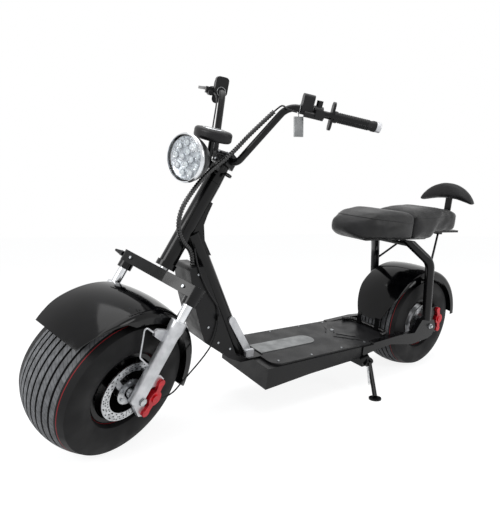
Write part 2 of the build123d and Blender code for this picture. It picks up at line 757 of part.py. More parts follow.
# Key and tag hang straight down from rings round the bar, one each side
KEY_RING_R = 14
KEY_WIRE_R = 1.5
KEY_SIZE = (30, 9, 60)
hang = direction(steered.inverse(), tuple(-ground_up)).normalized()
key_bar = Vector(*BAR_HALF_ROUTE[1]) + grip_dir * 36
with BuildPart() as key_fobs:
    for side in (-1, 1):
        bar_dir = Vector(grip_dir.X, side * grip_dir.Y, grip_dir.Z)
        level = (bar_dir - hang * bar_dir.dot(hang)).normalized()
        drop = (hang - bar_dir * bar_dir.dot(hang)).normalized()
        ring_at = Vector(key_bar.X, side * key_bar.Y, key_bar.Z) + drop * (KEY_RING_R - KEY_WIRE_R - BAR_R - 0.2)
        with BuildSketch(Plane(origin=ring_at - drop * KEY_RING_R, x_dir=drop, z_dir=bar_dir.cross(drop))):
            Circle(KEY_WIRE_R)
        revolve(axis=Axis(ring_at, bar_dir))
        ring_low = ring_at + drop * KEY_RING_R
        top = ring_low + hang * 10
        with BuildSketch(Plane(origin=ring_low, z_dir=hang)):
            Circle(1.4)
        extrude(amount=12)
        with BuildSketch(Plane(origin=top, x_dir=level, z_dir=hang)):
            RectangleRounded(KEY_SIZE[0], KEY_SIZE[1], 3)
        extrude(amount=KEY_SIZE[2])

# Guide ring on the yoke's left, where the hoses pass
GUIDE_UP = 704
with BuildPart() as hose_guide:
    with BuildSketch(Plane(origin=(6, 0, GUIDE_UP), z_dir=(0, 1, 0))):
        Circle(2.5)
    extrude(amount=34)
    with BuildSketch(Plane(origin=(6, 45, GUIDE_UP - 3), z_dir=(0, 0, 1))):
        Circle(13)
        Circle(10, mode=Mode.SUBTRACT)
    extrude(amount=6)
    with BuildSketch(Plane.XY.offset(HEAD_TOP)):
        Circle(HEAD_R)
    with BuildSketch(Plane.XY.offset(HEAD_TOP + YOKE_LONG)):
        Circle(YOKE_R)
    loft(mode=Mode.SUBTRACT)

# Frame, upright
head_plane = Plane(origin=fork_point(0, 0, HEAD_LOW), x_dir=RAKE_AHEAD, z_dir=RAKE_UP)
with BuildPart() as head_tube:
    with BuildSketch(head_plane):
        Circle(HEAD_R)
    extrude(amount=HEAD_TOP - HEAD_LOW - 1)
    with BuildSketch(head_plane):
        Circle(CUP_R)
    extrude(amount=CUP_LONG)
    with BuildSketch(head_plane):
        Circle(STEM_R + 0.5)
    extrude(amount=HEAD_TOP - HEAD_LOW - 1, mode=Mode.SUBTRACT)

down_dir = (Vector(*DOWN_TOP) - Vector(*DOWN_LOW)).normalized()
down_plane = Plane(origin=DOWN_LOW, z_dir=down_dir)
with BuildPart() as down_tube:
    with BuildSketch(down_plane.offset(-20)):
        Circle(TUBE_R)
    extrude(amount=(Vector(*DOWN_TOP) - Vector(*DOWN_LOW)).length - 4)
    # sheet gusset behind the steering head
    with BuildSketch(Plane.XZ):
        outline(from_front(
            (319, 519), (302, 480), (292, 450), (298, 401), (325, 351), (290, 353), (246, 443), (298, 530),
        ))
    extrude(amount=GUSSET_HALF, both=True)
    # foot on the deck
    with BuildSketch(Plane.XY.offset(DECK_TOP)):
        with Locations((DECK_FRONT + 6, 0)):
            Rectangle(100, 2 * FOOT_HALF)
    extrude(amount=FOOT_THICK)
    # lug for the side bar
    bar_high, bar_low = from_front((409, 133), (502, -15))
    with BuildSketch(Plane(origin=(bar_high[0] - 2, 0, bar_high[1] - 12), z_dir=(0, 1, 0))):
        Circle(9)
    extrude(amount=SIDE_BAR_Y)
    with BuildSketch(head_plane):
        Circle(HEAD_R)
    extrude(amount=HEAD_TOP - HEAD_LOW, mode=Mode.SUBTRACT)
    with BuildSketch(Plane.XY.offset(DECK_TOP)):
        Rectangle(3 * WHEELBASE, 400)
    extrude(amount=-200, mode=Mode.SUBTRACT)

# Bright flat bar on the tube's left, down to a block on the deck
with BuildPart() as side_bar:
    run = Vector(bar_high[0] - bar_low[0], 0, bar_high[1] - bar_low[1])
    bar_plane = Plane(
        origin=((bar_high[0] + bar_low[0]) / 2, SIDE_BAR_Y, (bar_high[1] + bar_low[1]) / 2),
        x_dir=run.normalized(), z_dir=(0, 1, 0),
    )
    with BuildSketch(bar_plane):
        SlotOverall(run.length, 26)
    extrude(amount=SIDE_BAR_THICK)
    with BuildSketch(Plane.XY.offset(DECK_TOP + FOOT_THICK)):
        with Locations((DECK_FRONT + 8, SIDE_BAR_Y + 7)):
            Rectangle(34, 14)
    extrude(amount=26)

# Box ahead of the down tube, with the hose clip on its left
clip_at = from_front((342, 150))[0]
CLIP_REACH = 12
with BuildPart() as front_box:
    with BuildSketch(Plane.XZ):
        outline(from_front(
            (230, 323), (252, 213), (286, 105), (301, 68), (398, -3), (450, -29), (506, -29), (430, 0),
            (280, 323),
        ))
    extrude(amount=BOX_HALF, both=True)
    fillet(edges().filter_by(Axis.Y).group_by(Axis.X)[-1], 12)
    with BuildSketch(Plane(origin=(clip_at[0], BOX_HALF, clip_at[1]), z_dir=(0, 1, 0))):
        Rectangle(16, 12)
    extrude(amount=CLIP_REACH)
    with BuildSketch(down_plane.offset(-60)):
        Circle(TUBE_R + RUNNING_GAP)
    extrude(amount=800, mode=Mode.SUBTRACT)
    with BuildSketch(Plane.XY.offset(DECK_TOP)):
        with Locations((DECK_FRONT + 6, 0)):
            Rectangle(100, 2 * FOOT_HALF)
    extrude(amount=FOOT_THICK, mode=Mode.SUBTRACT)
    with BuildSketch(Plane(origin=(clip_at[0], BOX_HALF + CLIP_REACH / 2 + 2, clip_at[1] - 20))):
        Circle(CABLE_R + 0.5)
    extrude(amount=40, mode=Mode.SUBTRACT)
    with BuildSketch(bar_plane.offset(-1)):
        SlotOverall(run.length + 2, 28)
    extrude(amount=SIDE_BAR_THICK + 2, mode=Mode.SUBTRACT)
    with BuildSketch(Plane.XY.offset(DECK_TOP)):
        with Locations((DECK_FRONT + 8, SIDE_BAR_Y + 7)):
            Rectangle(36, 16)
    extrude(amount=FOOT_THICK + 27, mode=Mode.SUBTRACT)

# Deck: a sheet box with its battery inside, under a moulded cover
deck_side = (
    *from_rear((DECK_REAR, -29), (DECK_REAR, -67), (DECK_REAR + 18, -77)),
    *from_front((708, -88), (502, -105), (506, -29)),
)
deck_hollow = (
    *from_rear((DECK_REAR + 3, -32), (DECK_REAR + 3, -66), (DECK_REAR + 19, -74)),
    *from_front((708, -85), (506, -101), (509, -32)),
)
deck_long = DECK_FRONT - DECK_REAR
deck_middle = (DECK_FRONT + DECK_REAR) / 2
with BuildPart() as deck_pan:
    with BuildSketch(Plane.XZ):
        outline(deck_side)
    extrude(amount=DECK_HALF, both=True)
    with BuildSketch(Plane.XZ):
        outline(deck_hollow)
    extrude(amount=DECK_HALF - PAN_WALL, both=True, mode=Mode.SUBTRACT)
    with BuildSketch(Plane.XY.offset(DECK_TOP - 10)):
        with Locations((deck_middle - 20, 0)):
            Rectangle(deck_long - 40 - 4 * PAN_RIM, 2 * (DECK_HALF - PAN_WALL - PAN_RIM))
    extrude(amount=20, mode=Mode.SUBTRACT)

battery_long = deck_long - 120
with BuildPart() as battery:
    with BuildSketch(Plane.XY.offset(DECK_TOP - 46)):
        with Locations((deck_middle, 0)):
            Rectangle(battery_long, 180)
    extrude(amount=40)
    # cradle rails down to the pan's floor
    with BuildSketch(Plane.XZ):
        outline((
            *from_rear((DECK_REAR + 62, -75), (DECK_REAR + 90, -75.3)),
            (DECK_REAR + 90, DECK_TOP - 40), (DECK_REAR + 62, DECK_TOP - 40),
        ))
    extrude(amount=60, both=True)

with BuildPart() as deck_cover:
    with BuildSketch(Plane.XY.offset(DECK_TOP)):
        with Locations(((COVER_FRONT + COVER_REAR) / 2, 0)):
            cover_face = Rectangle(COVER_FRONT - COVER_REAR, 2 * (DECK_HALF - 4))
        fillet(vertices().group_by(Axis.X)[-1], COVER_ROUND)
    extrude(amount=COVER_THICK)
    with BuildSketch(Plane.XY.offset(DECK_TOP)):
        with Locations((DECK_FRONT + 6, 0)):
            Rectangle(101, 2 * FOOT_HALF + 1)
    extrude(amount=COVER_THICK, mode=Mode.SUBTRACT)
    with BuildSketch(down_plane.offset(-60)):
        Circle(TUBE_R + RUNNING_GAP)
    extrude(amount=120, mode=Mode.SUBTRACT)

STRIP_HALF = 40
STRIP_THICK = 2
strip_front = DECK_FRONT - 46
strip_rear = COVER_REAR + 204
with BuildPart() as deck_strip:
    with BuildSketch(Plane.XY.offset(DECK_TOP + COVER_THICK)):
        with Locations(((strip_front + strip_rear + STRIP_HALF) / 2, 0)):
            Rectangle(strip_front - strip_rear - STRIP_HALF, 2 * STRIP_HALF)
        with Locations((strip_rear + STRIP_HALF, 0)):
            Circle(STRIP_HALF)
    extrude(amount=STRIP_THICK)

with BuildPart() as tail_plate:
    with BuildSketch(Plane.XY.offset(DECK_TOP + COVER_THICK - TAIL_THICK)):
        with Locations(((COVER_REAR + TAIL_REAR) / 2, 0)):
            Rectangle(COVER_REAR - TAIL_REAR, 2 * (STAY_Y - STAY_HALF))
    extrude(amount=TAIL_THICK)

with BuildPart() as rear_stays:
    with BuildSketch(Plane.XZ.offset(-STAY_Y - STAY_HALF)):
        outline((
            *from_rear((DECK_REAR, -29), (COVER_REAR - 8, -29), (COVER_REAR - 12, -21), (216, -13), (109, -19)),
            *from_rear((64, 37), (16, 37), (-30, 25), (-51, -13), (-30, -50), (0, -61), (120, -71)),
            *from_rear((275, -46), (381, -57), (DECK_REAR, -67)),
        ))
    extrude(amount=2 * STAY_HALF)
    mirror(about=Plane.XZ)
    add(Pos(0, 0, TYRE_R) * Rot(0, REAR_CALIPER_TURN, 0) * bracket.part)
    with BuildSketch(Plane.XZ.offset(-STAY_Y - STAY_HALF - 2)):
        with Locations((0, TYRE_R)):
            Circle(AXLE_R + 0.1)
    extrude(amount=2 * (STAY_Y + STAY_HALF + 2), mode=Mode.SUBTRACT)

with BuildPart() as rear_axle:
    rear_half = STAY_Y + STAY_HALF + 14
    with BuildSketch(Plane.XZ.offset(-rear_half)):
        with Locations((0, TYRE_R)):
            Circle(AXLE_R)
    extrude(amount=2 * rear_half)
    for side in (14 - rear_half, rear_half - 14 + NUT_THICK):
        with BuildSketch(Plane.XZ.offset(-side)):
            with Locations((0, TYRE_R)):
                RegularPolygon(AXLE_NUT / 2, 6, major_radius=False)
        extrude(amount=NUT_THICK)
    ring_in = (ROTOR_Y + ROTOR_THICK / 2 + RING_GAP, MOTOR_HALF + 22 + RING_GAP)
    for side, ring_end in zip((1, -1), ring_in):
        with BuildSketch(Plane.XZ.offset(-side * (STAY_Y - STAY_HALF))):
            with Locations((0, TYRE_R)):
                Circle(AXLE_RING_R)
        extrude(amount=side * (STAY_Y - STAY_HALF - ring_end))

# Seat legs, their cross tube, and the rods back to the seat's tail
ROD_R = 5
rod_low = (72, SEAT_LEG_Y - 6, TYRE_R + 262)
rod_high = (-94, 60, SEAT_PAN_LOW + 25)
with BuildPart() as seat_legs:
    add(tube([(36, SEAT_LEG_Y, DROPOUT_TOP - 20), SEAT_BEND, SEAT_TOP], (70,), SEAT_LEG_R))
    with BuildSketch(Plane.XY.offset(SEAT_PAN_LOW)):
        Rectangle(900, 900)
    extrude(amount=60, mode=Mode.SUBTRACT)
    with BuildSketch(Plane.XY.offset(DROPOUT_TOP)):
        Rectangle(900, 900)
    extrude(amount=-80, mode=Mode.SUBTRACT)
    with BuildSketch(Plane.XZ.offset(-SEAT_LEG_Y + 8)):
        with Locations((67, TYRE_R + 218)):
            Circle(6)
    extrude(amount=SEAT_LEG_Y - 8 - REAR_FENDER_HALF)
    add(tube([rod_low, rod_high], (), ROD_R))
    with BuildSketch(Plane.XY.offset(SEAT_PAN_LOW + 22)):
        with Locations((rod_high[0], rod_high[1])):
            Rectangle(30, 24)
    extrude(amount=SEAT_STEP - 22)
    mirror(about=Plane.XZ)
    with BuildSketch(Plane.XZ.offset(-90)):
        with Locations((178, SEAT_PAN_LOW - 16)):
            Circle(9)
    extrude(amount=180)

with BuildPart() as seat_pan:
    with BuildSketch(Plane.XZ):
        outline((
            (430, SEAT_PAN_LOW), (20, SEAT_PAN_LOW), (-20, SEAT_PAN_LOW + SEAT_STEP),
            (-250, SEAT_PAN_LOW + SEAT_STEP), (-250, SEAT_PAN_LOW + SEAT_STEP + SEAT_PAN_THICK),
            (-16, SEAT_PAN_LOW + SEAT_STEP + SEAT_PAN_THICK), (24, SEAT_PAN_LOW + SEAT_PAN_THICK),
            (430, SEAT_PAN_LOW + SEAT_PAN_THICK),
        ))
    extrude(amount=SEAT_PAN_HALF, both=True)

# Saddle, from side and top outlines
pan_top = SEAT_PAN_LOW + SEAT_PAN_THICK
with BuildPart() as seat_front:
    with BuildSketch(Plane.XZ):
        outline((
            (SEAT_SPLIT, pan_top), (470, pan_top), (526, pan_top + 18), (533, pan_top + 42),
            (518, pan_top + 66), (420, pan_top + 98), (313, pan_top + 111), (240, pan_top + 109),
            (SEAT_SPLIT, pan_top + 101),
        ))
    extrude(amount=160, both=True)
    with BuildSketch(Plane.XY):
        with BuildLine() as plan:
            ThreePointArc((533, 0), (524, 44), (490, 74))
            ThreePointArc((490, 74), (400, 116), (300, 131))
            ThreePointArc((300, 131), (240, 134), (SEAT_SPLIT, 121))
            Line((SEAT_SPLIT, 121), (SEAT_SPLIT, -121))
            ThreePointArc((SEAT_SPLIT, -121), (240, -134), (300, -131))
            ThreePointArc((300, -131), (400, -116), (490, -74))
            ThreePointArc((490, -74), (524, -44), (533, 0))
        make_face(plan.line.edges())
    extrude(amount=2 * SEAT_PAN_LOW, mode=Mode.INTERSECT)

with BuildPart() as seat_rear:
    with BuildSketch(Plane.XZ):
        outline((
            (SEAT_SPLIT, pan_top), (SEAT_SPLIT, pan_top + 101), (100, pan_top + 122), (-14, pan_top + 132),
            (-150, pan_top + 122), (-226, pan_top + 110), (PAD_REAR, pan_top + 34), (-16, pan_top + SEAT_STEP),
            (24, pan_top),
        ))
    extrude(amount=160, both=True)
    with BuildSketch(Plane.XY):
        with BuildLine() as plan:
            Line((SEAT_SPLIT, -118), (SEAT_SPLIT, 118))
            ThreePointArc((SEAT_SPLIT, 118), (0, 111), (-130, 98))
            ThreePointArc((-130, 98), (-205, 76), (PAD_REAR, 40))
            Line((PAD_REAR, 40), (PAD_REAR, -40))
            ThreePointArc((PAD_REAR, -40), (-205, -76), (-130, -98))
            ThreePointArc((-130, -98), (0, -111), (SEAT_SPLIT, -118))
        make_face(plan.line.edges())
    extrude(amount=2 * SEAT_PAN_LOW, mode=Mode.INTERSECT)

back_low = pan_top + 168
with BuildPart() as backrest:
    with BuildSketch(Plane.YZ.offset(POST_X + POST_THICK / 2)):
        with BuildLine() as moon:
            ThreePointArc((-149, back_low + 4), (0, back_low + 91), (149, back_low + 4))
            ThreePointArc((149, back_low + 4), (142, back_low - 4), (130, back_low - 2))
            ThreePointArc((130, back_low - 2), (0, back_low + 6), (-130, back_low - 2))
            ThreePointArc((-130, back_low - 2), (-142, back_low - 4), (-149, back_low + 4))
        make_face(moon.line.edges())
    extrude(amount=BACKREST_THICK)

with BuildPart() as backrest_post:
    with BuildSketch(Plane.XY.offset(pan_top + SEAT_STEP)):
        with Locations((POST_X, 0)):
            Rectangle(POST_THICK, 2 * POST_HALF)
    extrude(amount=back_low - pan_top - SEAT_STEP + 50)

# Side stand: its foot lies flat on the ground where the parked scooter puts it
stand_pivot = Vector(*STAND_PIVOT)
foot_x, foot_y = STAND_FOOT
foot_z = -(parked.position.Z + ground_up.X * foot_x + ground_up.Y * foot_y) / ground_up.Z
stand_foot = Vector(foot_x, foot_y, foot_z)
stand_down = (stand_foot - stand_pivot).normalized()
stand_back = Vector(*STAND_FOLDED).normalized()
stand_axis = stand_down.cross(stand_back).normalized()
stand_swing = stand_down.get_angle(stand_back)

EYE_R = 14
EYE_HALF = 9
PAD_R = 24
PAD_THICK = 6
with BuildPart() as side_stand:
    with BuildSketch(Plane(origin=stand_pivot, z_dir=stand_axis).offset(-EYE_HALF)):
        Circle(EYE_R)
    extrude(amount=2 * EYE_HALF)
    leg_end = stand_foot + ground_up * (PAD_THICK + 3)
    with BuildSketch(Plane(origin=stand_pivot, z_dir=(leg_end - stand_pivot).normalized())):
        Circle(STAND_R)
    extrude(amount=(leg_end - stand_pivot).length)
    with BuildSketch(Plane(origin=stand_foot, z_dir=ground_up)):
        Circle(PAD_R)
    extrude(amount=PAD_THICK)
    with BuildSketch(Plane(origin=stand_pivot, z_dir=stand_axis).offset(-EYE_HALF - 1)):
        Circle(AXLE_R + RUNNING_GAP)
    extrude(amount=2 * EYE_HALF + 2, mode=Mode.SUBTRACT)

bracket_x = (STAND_PIVOT[0] + DECK_REAR) / 2
with BuildPart() as stand_bracket:
    stay_in = STAY_Y - STAY_HALF
    stay_low = TYRE_R - 69
    for y_in, y_out, top in ((84, stay_in, DECK_TOP), (stay_in, stay_in + 30, stay_low)):
        with BuildSketch(Plane.XY.offset(top)):
            with Locations((bracket_x - 12, (y_in + y_out) / 2)):
                Rectangle(2 * (DECK_REAR - bracket_x + 12), y_out - y_in)
        extrude(amount=TYRE_R - 113 - top)
    with BuildSketch(Plane(origin=stand_pivot, z_dir=stand_axis).offset(-EYE_HALF - 0.5)):
        Rectangle(600, 600)
    extrude(amount=300, mode=Mode.SUBTRACT)
    with BuildSketch(Plane(origin=stand_pivot, z_dir=stand_axis).offset(-EYE_HALF - 0.5)):
        Circle(EYE_R)
    extrude(amount=-12)
    with BuildSketch(Plane(origin=stand_pivot, z_dir=stand_axis).offset(EYE_HALF + 6)):
        Circle(AXLE_R)
    extrude(amount=-2 * EYE_HALF - 8)

# Cords: hoses and looms with their runs and bends
def cord(points, outer):
    """A cord through its points, each bend as wide as its runs allow."""
    runs = [Vector(*b) - Vector(*a) for a, b in zip(points, points[1:])]
    bends = []
    for before, after in zip(runs, runs[1:]):
        half_turn = radians(before.get_angle(after)) / 2
        bends.append(min(before.length, after.length) * 0.45 / tan(half_turn))
    return tube(points, tuple(bends), outer)


clip_hole = (clip_at[0], BOX_HALF + CLIP_REACH / 2 + 2, clip_at[1])
lever_hose = tuple(perch - grip_dir * 46.2 + lever_ahead * 32 - perch_up * 12)
(clip_over, clip_under) = as_steered(
    (clip_hole[0], clip_hole[1], clip_hole[2] + 30),
    (clip_hole[0], clip_hole[1], clip_hole[2] - 30),
)
# One loom runs down the left riser, past the lamp and into the box's top
LOOM = (
    (32, 103, 936), (28, 60, 846), (20, 40, 805), (40, 40, 752), (70.5, 24, 667.6), (100, 36, 596),
    (112, 42, 528), (84, 42, 478), (36, 42, 452),
    *as_steered((WHEELBASE - 250, 36, TYRE_R + 366), (WHEELBASE - 250, 36, TYRE_R + 323.2)),
)
# The left lever's hose goes into the loom's end, the right lever's into its side
LEFT_HOSE = (lever_hose, (36, 147.6, 949.6), (36, 128, 961), (33, 114, 958.5), (32, 103.1, 936.3))
RIGHT_HOSE = (
    (lever_hose[0], -lever_hose[1], lever_hose[2]), (36, -147.6, 949.6), (40, -118, 920), (40, -92, 860),
    (40, -62, 796), (46, -34, 752), (46, 0, 744), (42, 29.7, 748),
)
# The caliper's hose leaves the loom over the box and goes down its left side, through the clip
LOWER_HOSE = (
    *as_steered(
        (WHEELBASE - 250, 46.3, TYRE_R + 380), (WHEELBASE - 254, 54, TYRE_R + 347),
        (WHEELBASE - 260, 63, TYRE_R + 315), (WHEELBASE - 279, 64, TYRE_R + 275),
        (WHEELBASE - 304, 65, TYRE_R + 232), (WHEELBASE - 325, 67, TYRE_R + 205),
    ),
    clip_over, clip_under, (-210, 157, 214), (-197, 157, 160), (-177, 156, 112),
    (-158, 154, 66), (-146, 150, 20), (-118, 137, -2),
)
REAR_CONDUIT = tuple(
    (x, y, DECK_TOP + COVER_THICK + CONDUIT_R)
    for x, y in ((300, -112), (262, -106), (245, -84), (245, 84), (262, 106), (300, 112))
)
CORDS = {
    "left_hose": cord(LEFT_HOSE, CABLE_R),
    "lower_hose": cord(LOWER_HOSE, CABLE_R),
    "right_hose": cord(RIGHT_HOSE, CABLE_R),
    "wiring_loom": cord(LOOM, LOOM_R),
    "rear_conduit": cord(REAR_CONDUIT, CONDUIT_R),
}

# Every piece in its parked place; the origin is under the middle of the whole scooter
rear_wheel_at = Pos(0, 0, TYRE_R)
upright = Pos(0, 0, 0)
PIECES = (
    ("front_tyre", tyre.part, steered),
    ("front_rim", front_rim, steered),
    ("front_rotor", front_rotor, steered),
    ("rear_tyre", tyre.part, rear_wheel_at),
    ("rear_rim", rear_rim, rear_wheel_at),
    ("hub_motor", motor.part, rear_wheel_at),
    ("rear_rotor", rear_rotor, rear_wheel_at),
    ("front_axle", front_axle.part, steered),
    ("fork_legs", fork_legs.part, steered),
    ("stanchions", stanchions.part, steered),
    ("triple_clamp", triple_clamp.part + clamp_sockets.part, steered),
    ("clamp_stub", clamp_stub.part, steered),
    ("steering_stem", steering_stem.part, steered),
    ("bar_yoke", bar_yoke.part, steered),
    ("handlebar", handlebar, steered),
    ("grips", grips.part, steered),
    ("bar_ends", bar_ends.part, steered),
    ("lever_perches", lever_perches.part, steered),
    ("brake_levers", brake_levers.part, steered),
    ("switch_pods", switch_pods.part, steered),
    ("grip_plates", grip_plates.part, steered),
    ("key_fobs", key_fobs.part, steered),
    ("hose_guide", hose_guide.part, steered),
    ("left_hose", CORDS["left_hose"], steered),
    ("lower_hose", CORDS["lower_hose"], steered),
    ("right_hose", CORDS["right_hose"], steered),
    ("wiring_loom", CORDS["wiring_loom"], steered),
    ("headlight", headlight.part, steered),
    ("headlight_bezel", headlight_bezel.part, steered),
    ("headlight_lens", headlight_lens.part, steered),
    ("lamp_bracket", lamp_bracket.part, steered),
    ("display", display.part, steered),
    ("front_fender", front_fender.part, steered),
    ("front_caliper", front_caliper, steered),
    ("head_tube", head_tube.part, upright),
    ("down_tube", down_tube.part, upright),
    ("side_bar", side_bar.part, upright),
    ("front_box", front_box.part, upright),
    ("deck_pan", deck_pan.part, upright),
    ("battery", battery.part, upright),
    ("deck_cover", deck_cover.part, upright),
    ("deck_strip", deck_strip.part, upright),
    ("tail_plate", tail_plate.part, upright),
    ("rear_conduit", CORDS["rear_conduit"], upright),
    ("rear_stays", rear_stays.part, upright),
    ("rear_axle", rear_axle.part, upright),
    ("rear_caliper", rear_caliper, rear_wheel_at * Rot(0, REAR_CALIPER_TURN, 0)),
    ("rear_fender", rear_fender.part, rear_wheel_at),
    ("seat_legs", seat_legs.part, upright),
    ("seat_pan", seat_pan.part, upright),
    ("seat_front", seat_front.part, upright),
    ("seat_rear", seat_rear.part, upright),
    ("backrest", backrest.part, upright),
    ("backrest_post", backrest_post.part, upright),
    ("stand_bracket", stand_bracket.part, upright),
    ("side_stand", side_stand.part, upright),
)
placed = [(label, parked * place * shape) for label, shape, place in PIECES]
extent = placed[0][1].bounding_box()
for _, shape in placed:
    extent = extent.add(shape.bounding_box())
to_middle = Pos(-extent.center().X, -extent.center().Y, 0)
for label, shape in placed:
    piece = to_middle * shape
    piece.label = label
    export_step(piece, f"parts/{label}.step")
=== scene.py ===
# %% [markdown]
# Dressing a fat-tyre chopper scooter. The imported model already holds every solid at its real
# size, parked on its side stand with the bars turned to the left stop. Here each solid gets its
# real finish, and the soft, ribbed and shiny parts are modelled as meshes over the solids.

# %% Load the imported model
import json
from math import cos, pi, radians, sin, sqrt

import bmesh
import bpy
from mathutils import Matrix, Vector


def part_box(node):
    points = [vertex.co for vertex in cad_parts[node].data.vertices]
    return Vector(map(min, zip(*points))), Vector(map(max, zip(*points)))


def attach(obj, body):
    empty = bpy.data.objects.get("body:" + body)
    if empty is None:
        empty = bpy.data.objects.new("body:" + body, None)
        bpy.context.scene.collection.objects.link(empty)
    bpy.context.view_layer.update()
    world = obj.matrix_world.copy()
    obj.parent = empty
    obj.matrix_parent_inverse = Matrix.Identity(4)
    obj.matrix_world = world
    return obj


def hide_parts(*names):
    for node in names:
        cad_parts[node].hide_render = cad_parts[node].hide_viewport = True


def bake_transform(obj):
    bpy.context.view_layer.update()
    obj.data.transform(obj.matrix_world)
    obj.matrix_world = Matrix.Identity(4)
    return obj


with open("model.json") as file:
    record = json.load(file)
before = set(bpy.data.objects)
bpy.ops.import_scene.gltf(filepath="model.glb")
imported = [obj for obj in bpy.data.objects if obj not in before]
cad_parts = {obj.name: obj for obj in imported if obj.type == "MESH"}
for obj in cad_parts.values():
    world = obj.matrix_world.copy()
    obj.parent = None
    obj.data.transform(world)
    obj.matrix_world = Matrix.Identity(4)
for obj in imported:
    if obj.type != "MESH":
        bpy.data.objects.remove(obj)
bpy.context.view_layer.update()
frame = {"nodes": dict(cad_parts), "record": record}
nodes = frame["nodes"]
MM = 0.001

# %% [markdown]
# Two frames of reference make places easy to give. The scooter's own frame stands on the ground
# under the rear axle, X ahead and Z up, and leans with it. The fork's frame sits on the front
# axle, with Z up along the steering axis, which leans back by the rake. Both are worked out from
# the model's joints. LEVEL_X and LEVEL_Z are the upright scooter's ahead and up, given in the
# fork's frame. Sizes are in millimetres, and MM turns them to metres.

# %% Frames of reference
TYRE_R = 225
WHEELBASE = 1440
RAKE = radians(29)
LEVEL_X = Vector((cos(RAKE), 0, -sin(RAKE)))
LEVEL_Z = Vector((sin(RAKE), 0, cos(RAKE)))
joints = {joint["name"]: joint for joint in frame["record"]["behaviour"]["joints"]}
front_axle_at = Vector(joints["front_wheel_spin"]["pos_m"])
rear_axle_at = Vector(joints["rear_wheel_spin"]["pos_m"])


def frame_from(origin, x_axis, y_axis, z_axis):
    """The matrix that carries points of a frame to the model's own."""
    directions = Matrix((x_axis, y_axis, z_axis)).transposed().to_4x4()
    return Matrix.Translation(origin) @ directions


bike_y = Vector(joints["rear_wheel_spin"]["axis"]).normalized()
bike_x = (front_axle_at - rear_axle_at).normalized()
bike_z = bike_x.cross(bike_y).normalized()
BIKE = frame_from(rear_axle_at - bike_z * TYRE_R * MM, bike_x, bike_y, bike_z)
REAR_HUB = frame_from(rear_axle_at, bike_x, bike_y, bike_z)
fork_y = Vector(joints["front_wheel_spin"]["axis"]).normalized()
fork_z = Vector(joints["steering"]["axis"]).normalized()
FORK = frame_from(front_axle_at, fork_y.cross(fork_z).normalized(), fork_y, fork_z)
print("scooter origin", [round(c, 4) for c in BIKE.translation])

# %% [markdown]
# The camera stands where the photographer stood: ahead of the scooter on its left, at about
# headlamp height, with a moderately wide lens. It comes first, so that every later choice can
# be judged in the picture.

# %% Camera
CAMERA_AT = BIKE.translation + Vector((1.82863, 1.35616, 0.65844))
CAMERA_AIM = Vector((-0.59326, -0.80165, -0.07346))
FOCAL_PIXELS = 441.7
PICTURE_WIDE = 500
SHIFT_PIXELS = (-13.7, 2.2)
SENSOR_WIDE = 36
camera_data = bpy.data.cameras.new("photo_camera")
camera_data.sensor_fit = "HORIZONTAL"
camera_data.sensor_width = SENSOR_WIDE
camera_data.lens = SENSOR_WIDE * FOCAL_PIXELS / PICTURE_WIDE
camera_data.shift_x = SHIFT_PIXELS[0] / PICTURE_WIDE
camera_data.shift_y = SHIFT_PIXELS[1] / PICTURE_WIDE
camera = bpy.data.objects.new("photo_camera", camera_data)
camera.location = CAMERA_AT
camera.rotation_euler = CAMERA_AIM.to_track_quat("-Z", "Y").to_euler()
bpy.context.collection.objects.link(camera)
bpy.context.scene.camera = camera
bpy.context.scene.view_settings.view_transform = "Standard"
print("lens in mm", round(camera_data.lens, 1))


# %% [markdown]
# A finish is built from shader nodes. Colours are written as the hex values a painter would
# read off a screen and turned to linear light by one function. One small function adds a node
# with its settings and links, so that each recipe below reads as a list of ingredients.

# %% Colour and node helpers
def linear(code):
    """A screen colour such as #1a1b1d as linear light."""
    screen = [int(code[place:place + 2], 16) / 255 for place in (1, 3, 5)]
    return (*[c / 12.92 if c <= 0.04045 else ((c + 0.055) / 1.055) ** 2.4 for c in screen], 1.0)


def add_node(tree, kind, inputs=None, **settings):
    """A node with its settings; an input is a value, an output, or a node for its first output."""
    node = tree.nodes.new(kind)
    for name, value in settings.items():
        setattr(node, name, value)
    for name, value in (inputs or {}).items():
        if isinstance(value, bpy.types.Node):
            value = value.outputs[0]
        if isinstance(value, bpy.types.NodeSocket):
            tree.links.new(value, node.inputs[name])
        else:
            node.inputs[name].default_value = value
    return node


def empty_tree(owner):
    """The node tree of a material or world, with nothing in it yet."""
    owner.use_nodes = True
    owner.node_tree.nodes.clear()
    return owner.node_tree


print("black", [round(c, 4) for c in linear("#0a0a0c")])


# %% [markdown]
# Real surfaces are never even. Most finishes here share one recipe: noise in blotches a few
# centimetres wide blends two near colours and two near roughnesses, and a second, fine noise
# raises the grain. The noise stays near the middle of its range, so only that part is used. A
# grain of a fraction of a millimetre wouldn't show in a picture this small, so grains are drawn
# about a millimetre across or more, which is coarser than most real ones. A Mix node has sockets
# for numbers, vectors and colours: its two colours are inputs 6 and 7, and their mix is output 2.

# %% The common recipe
BLOTCH_SPAN = {"From Min": 0.35, "From Max": 0.65}
FIRST, SECOND, MIXED = 6, 7, 2


def object_noise(tree, size_mm, detail=3.0, stretch=(1, 1, 1)):
    """Noise whose blotches are about size_mm across, fixed to the piece."""
    where = add_node(tree, "ShaderNodeTexCoord")
    spread = add_node(tree, "ShaderNodeMapping", {"Vector": where.outputs["Object"], "Scale": stretch})
    return add_node(tree, "ShaderNodeTexNoise", {
        "Vector": spread, "Scale": 1 / (size_mm * MM), "Detail": detail,
    })


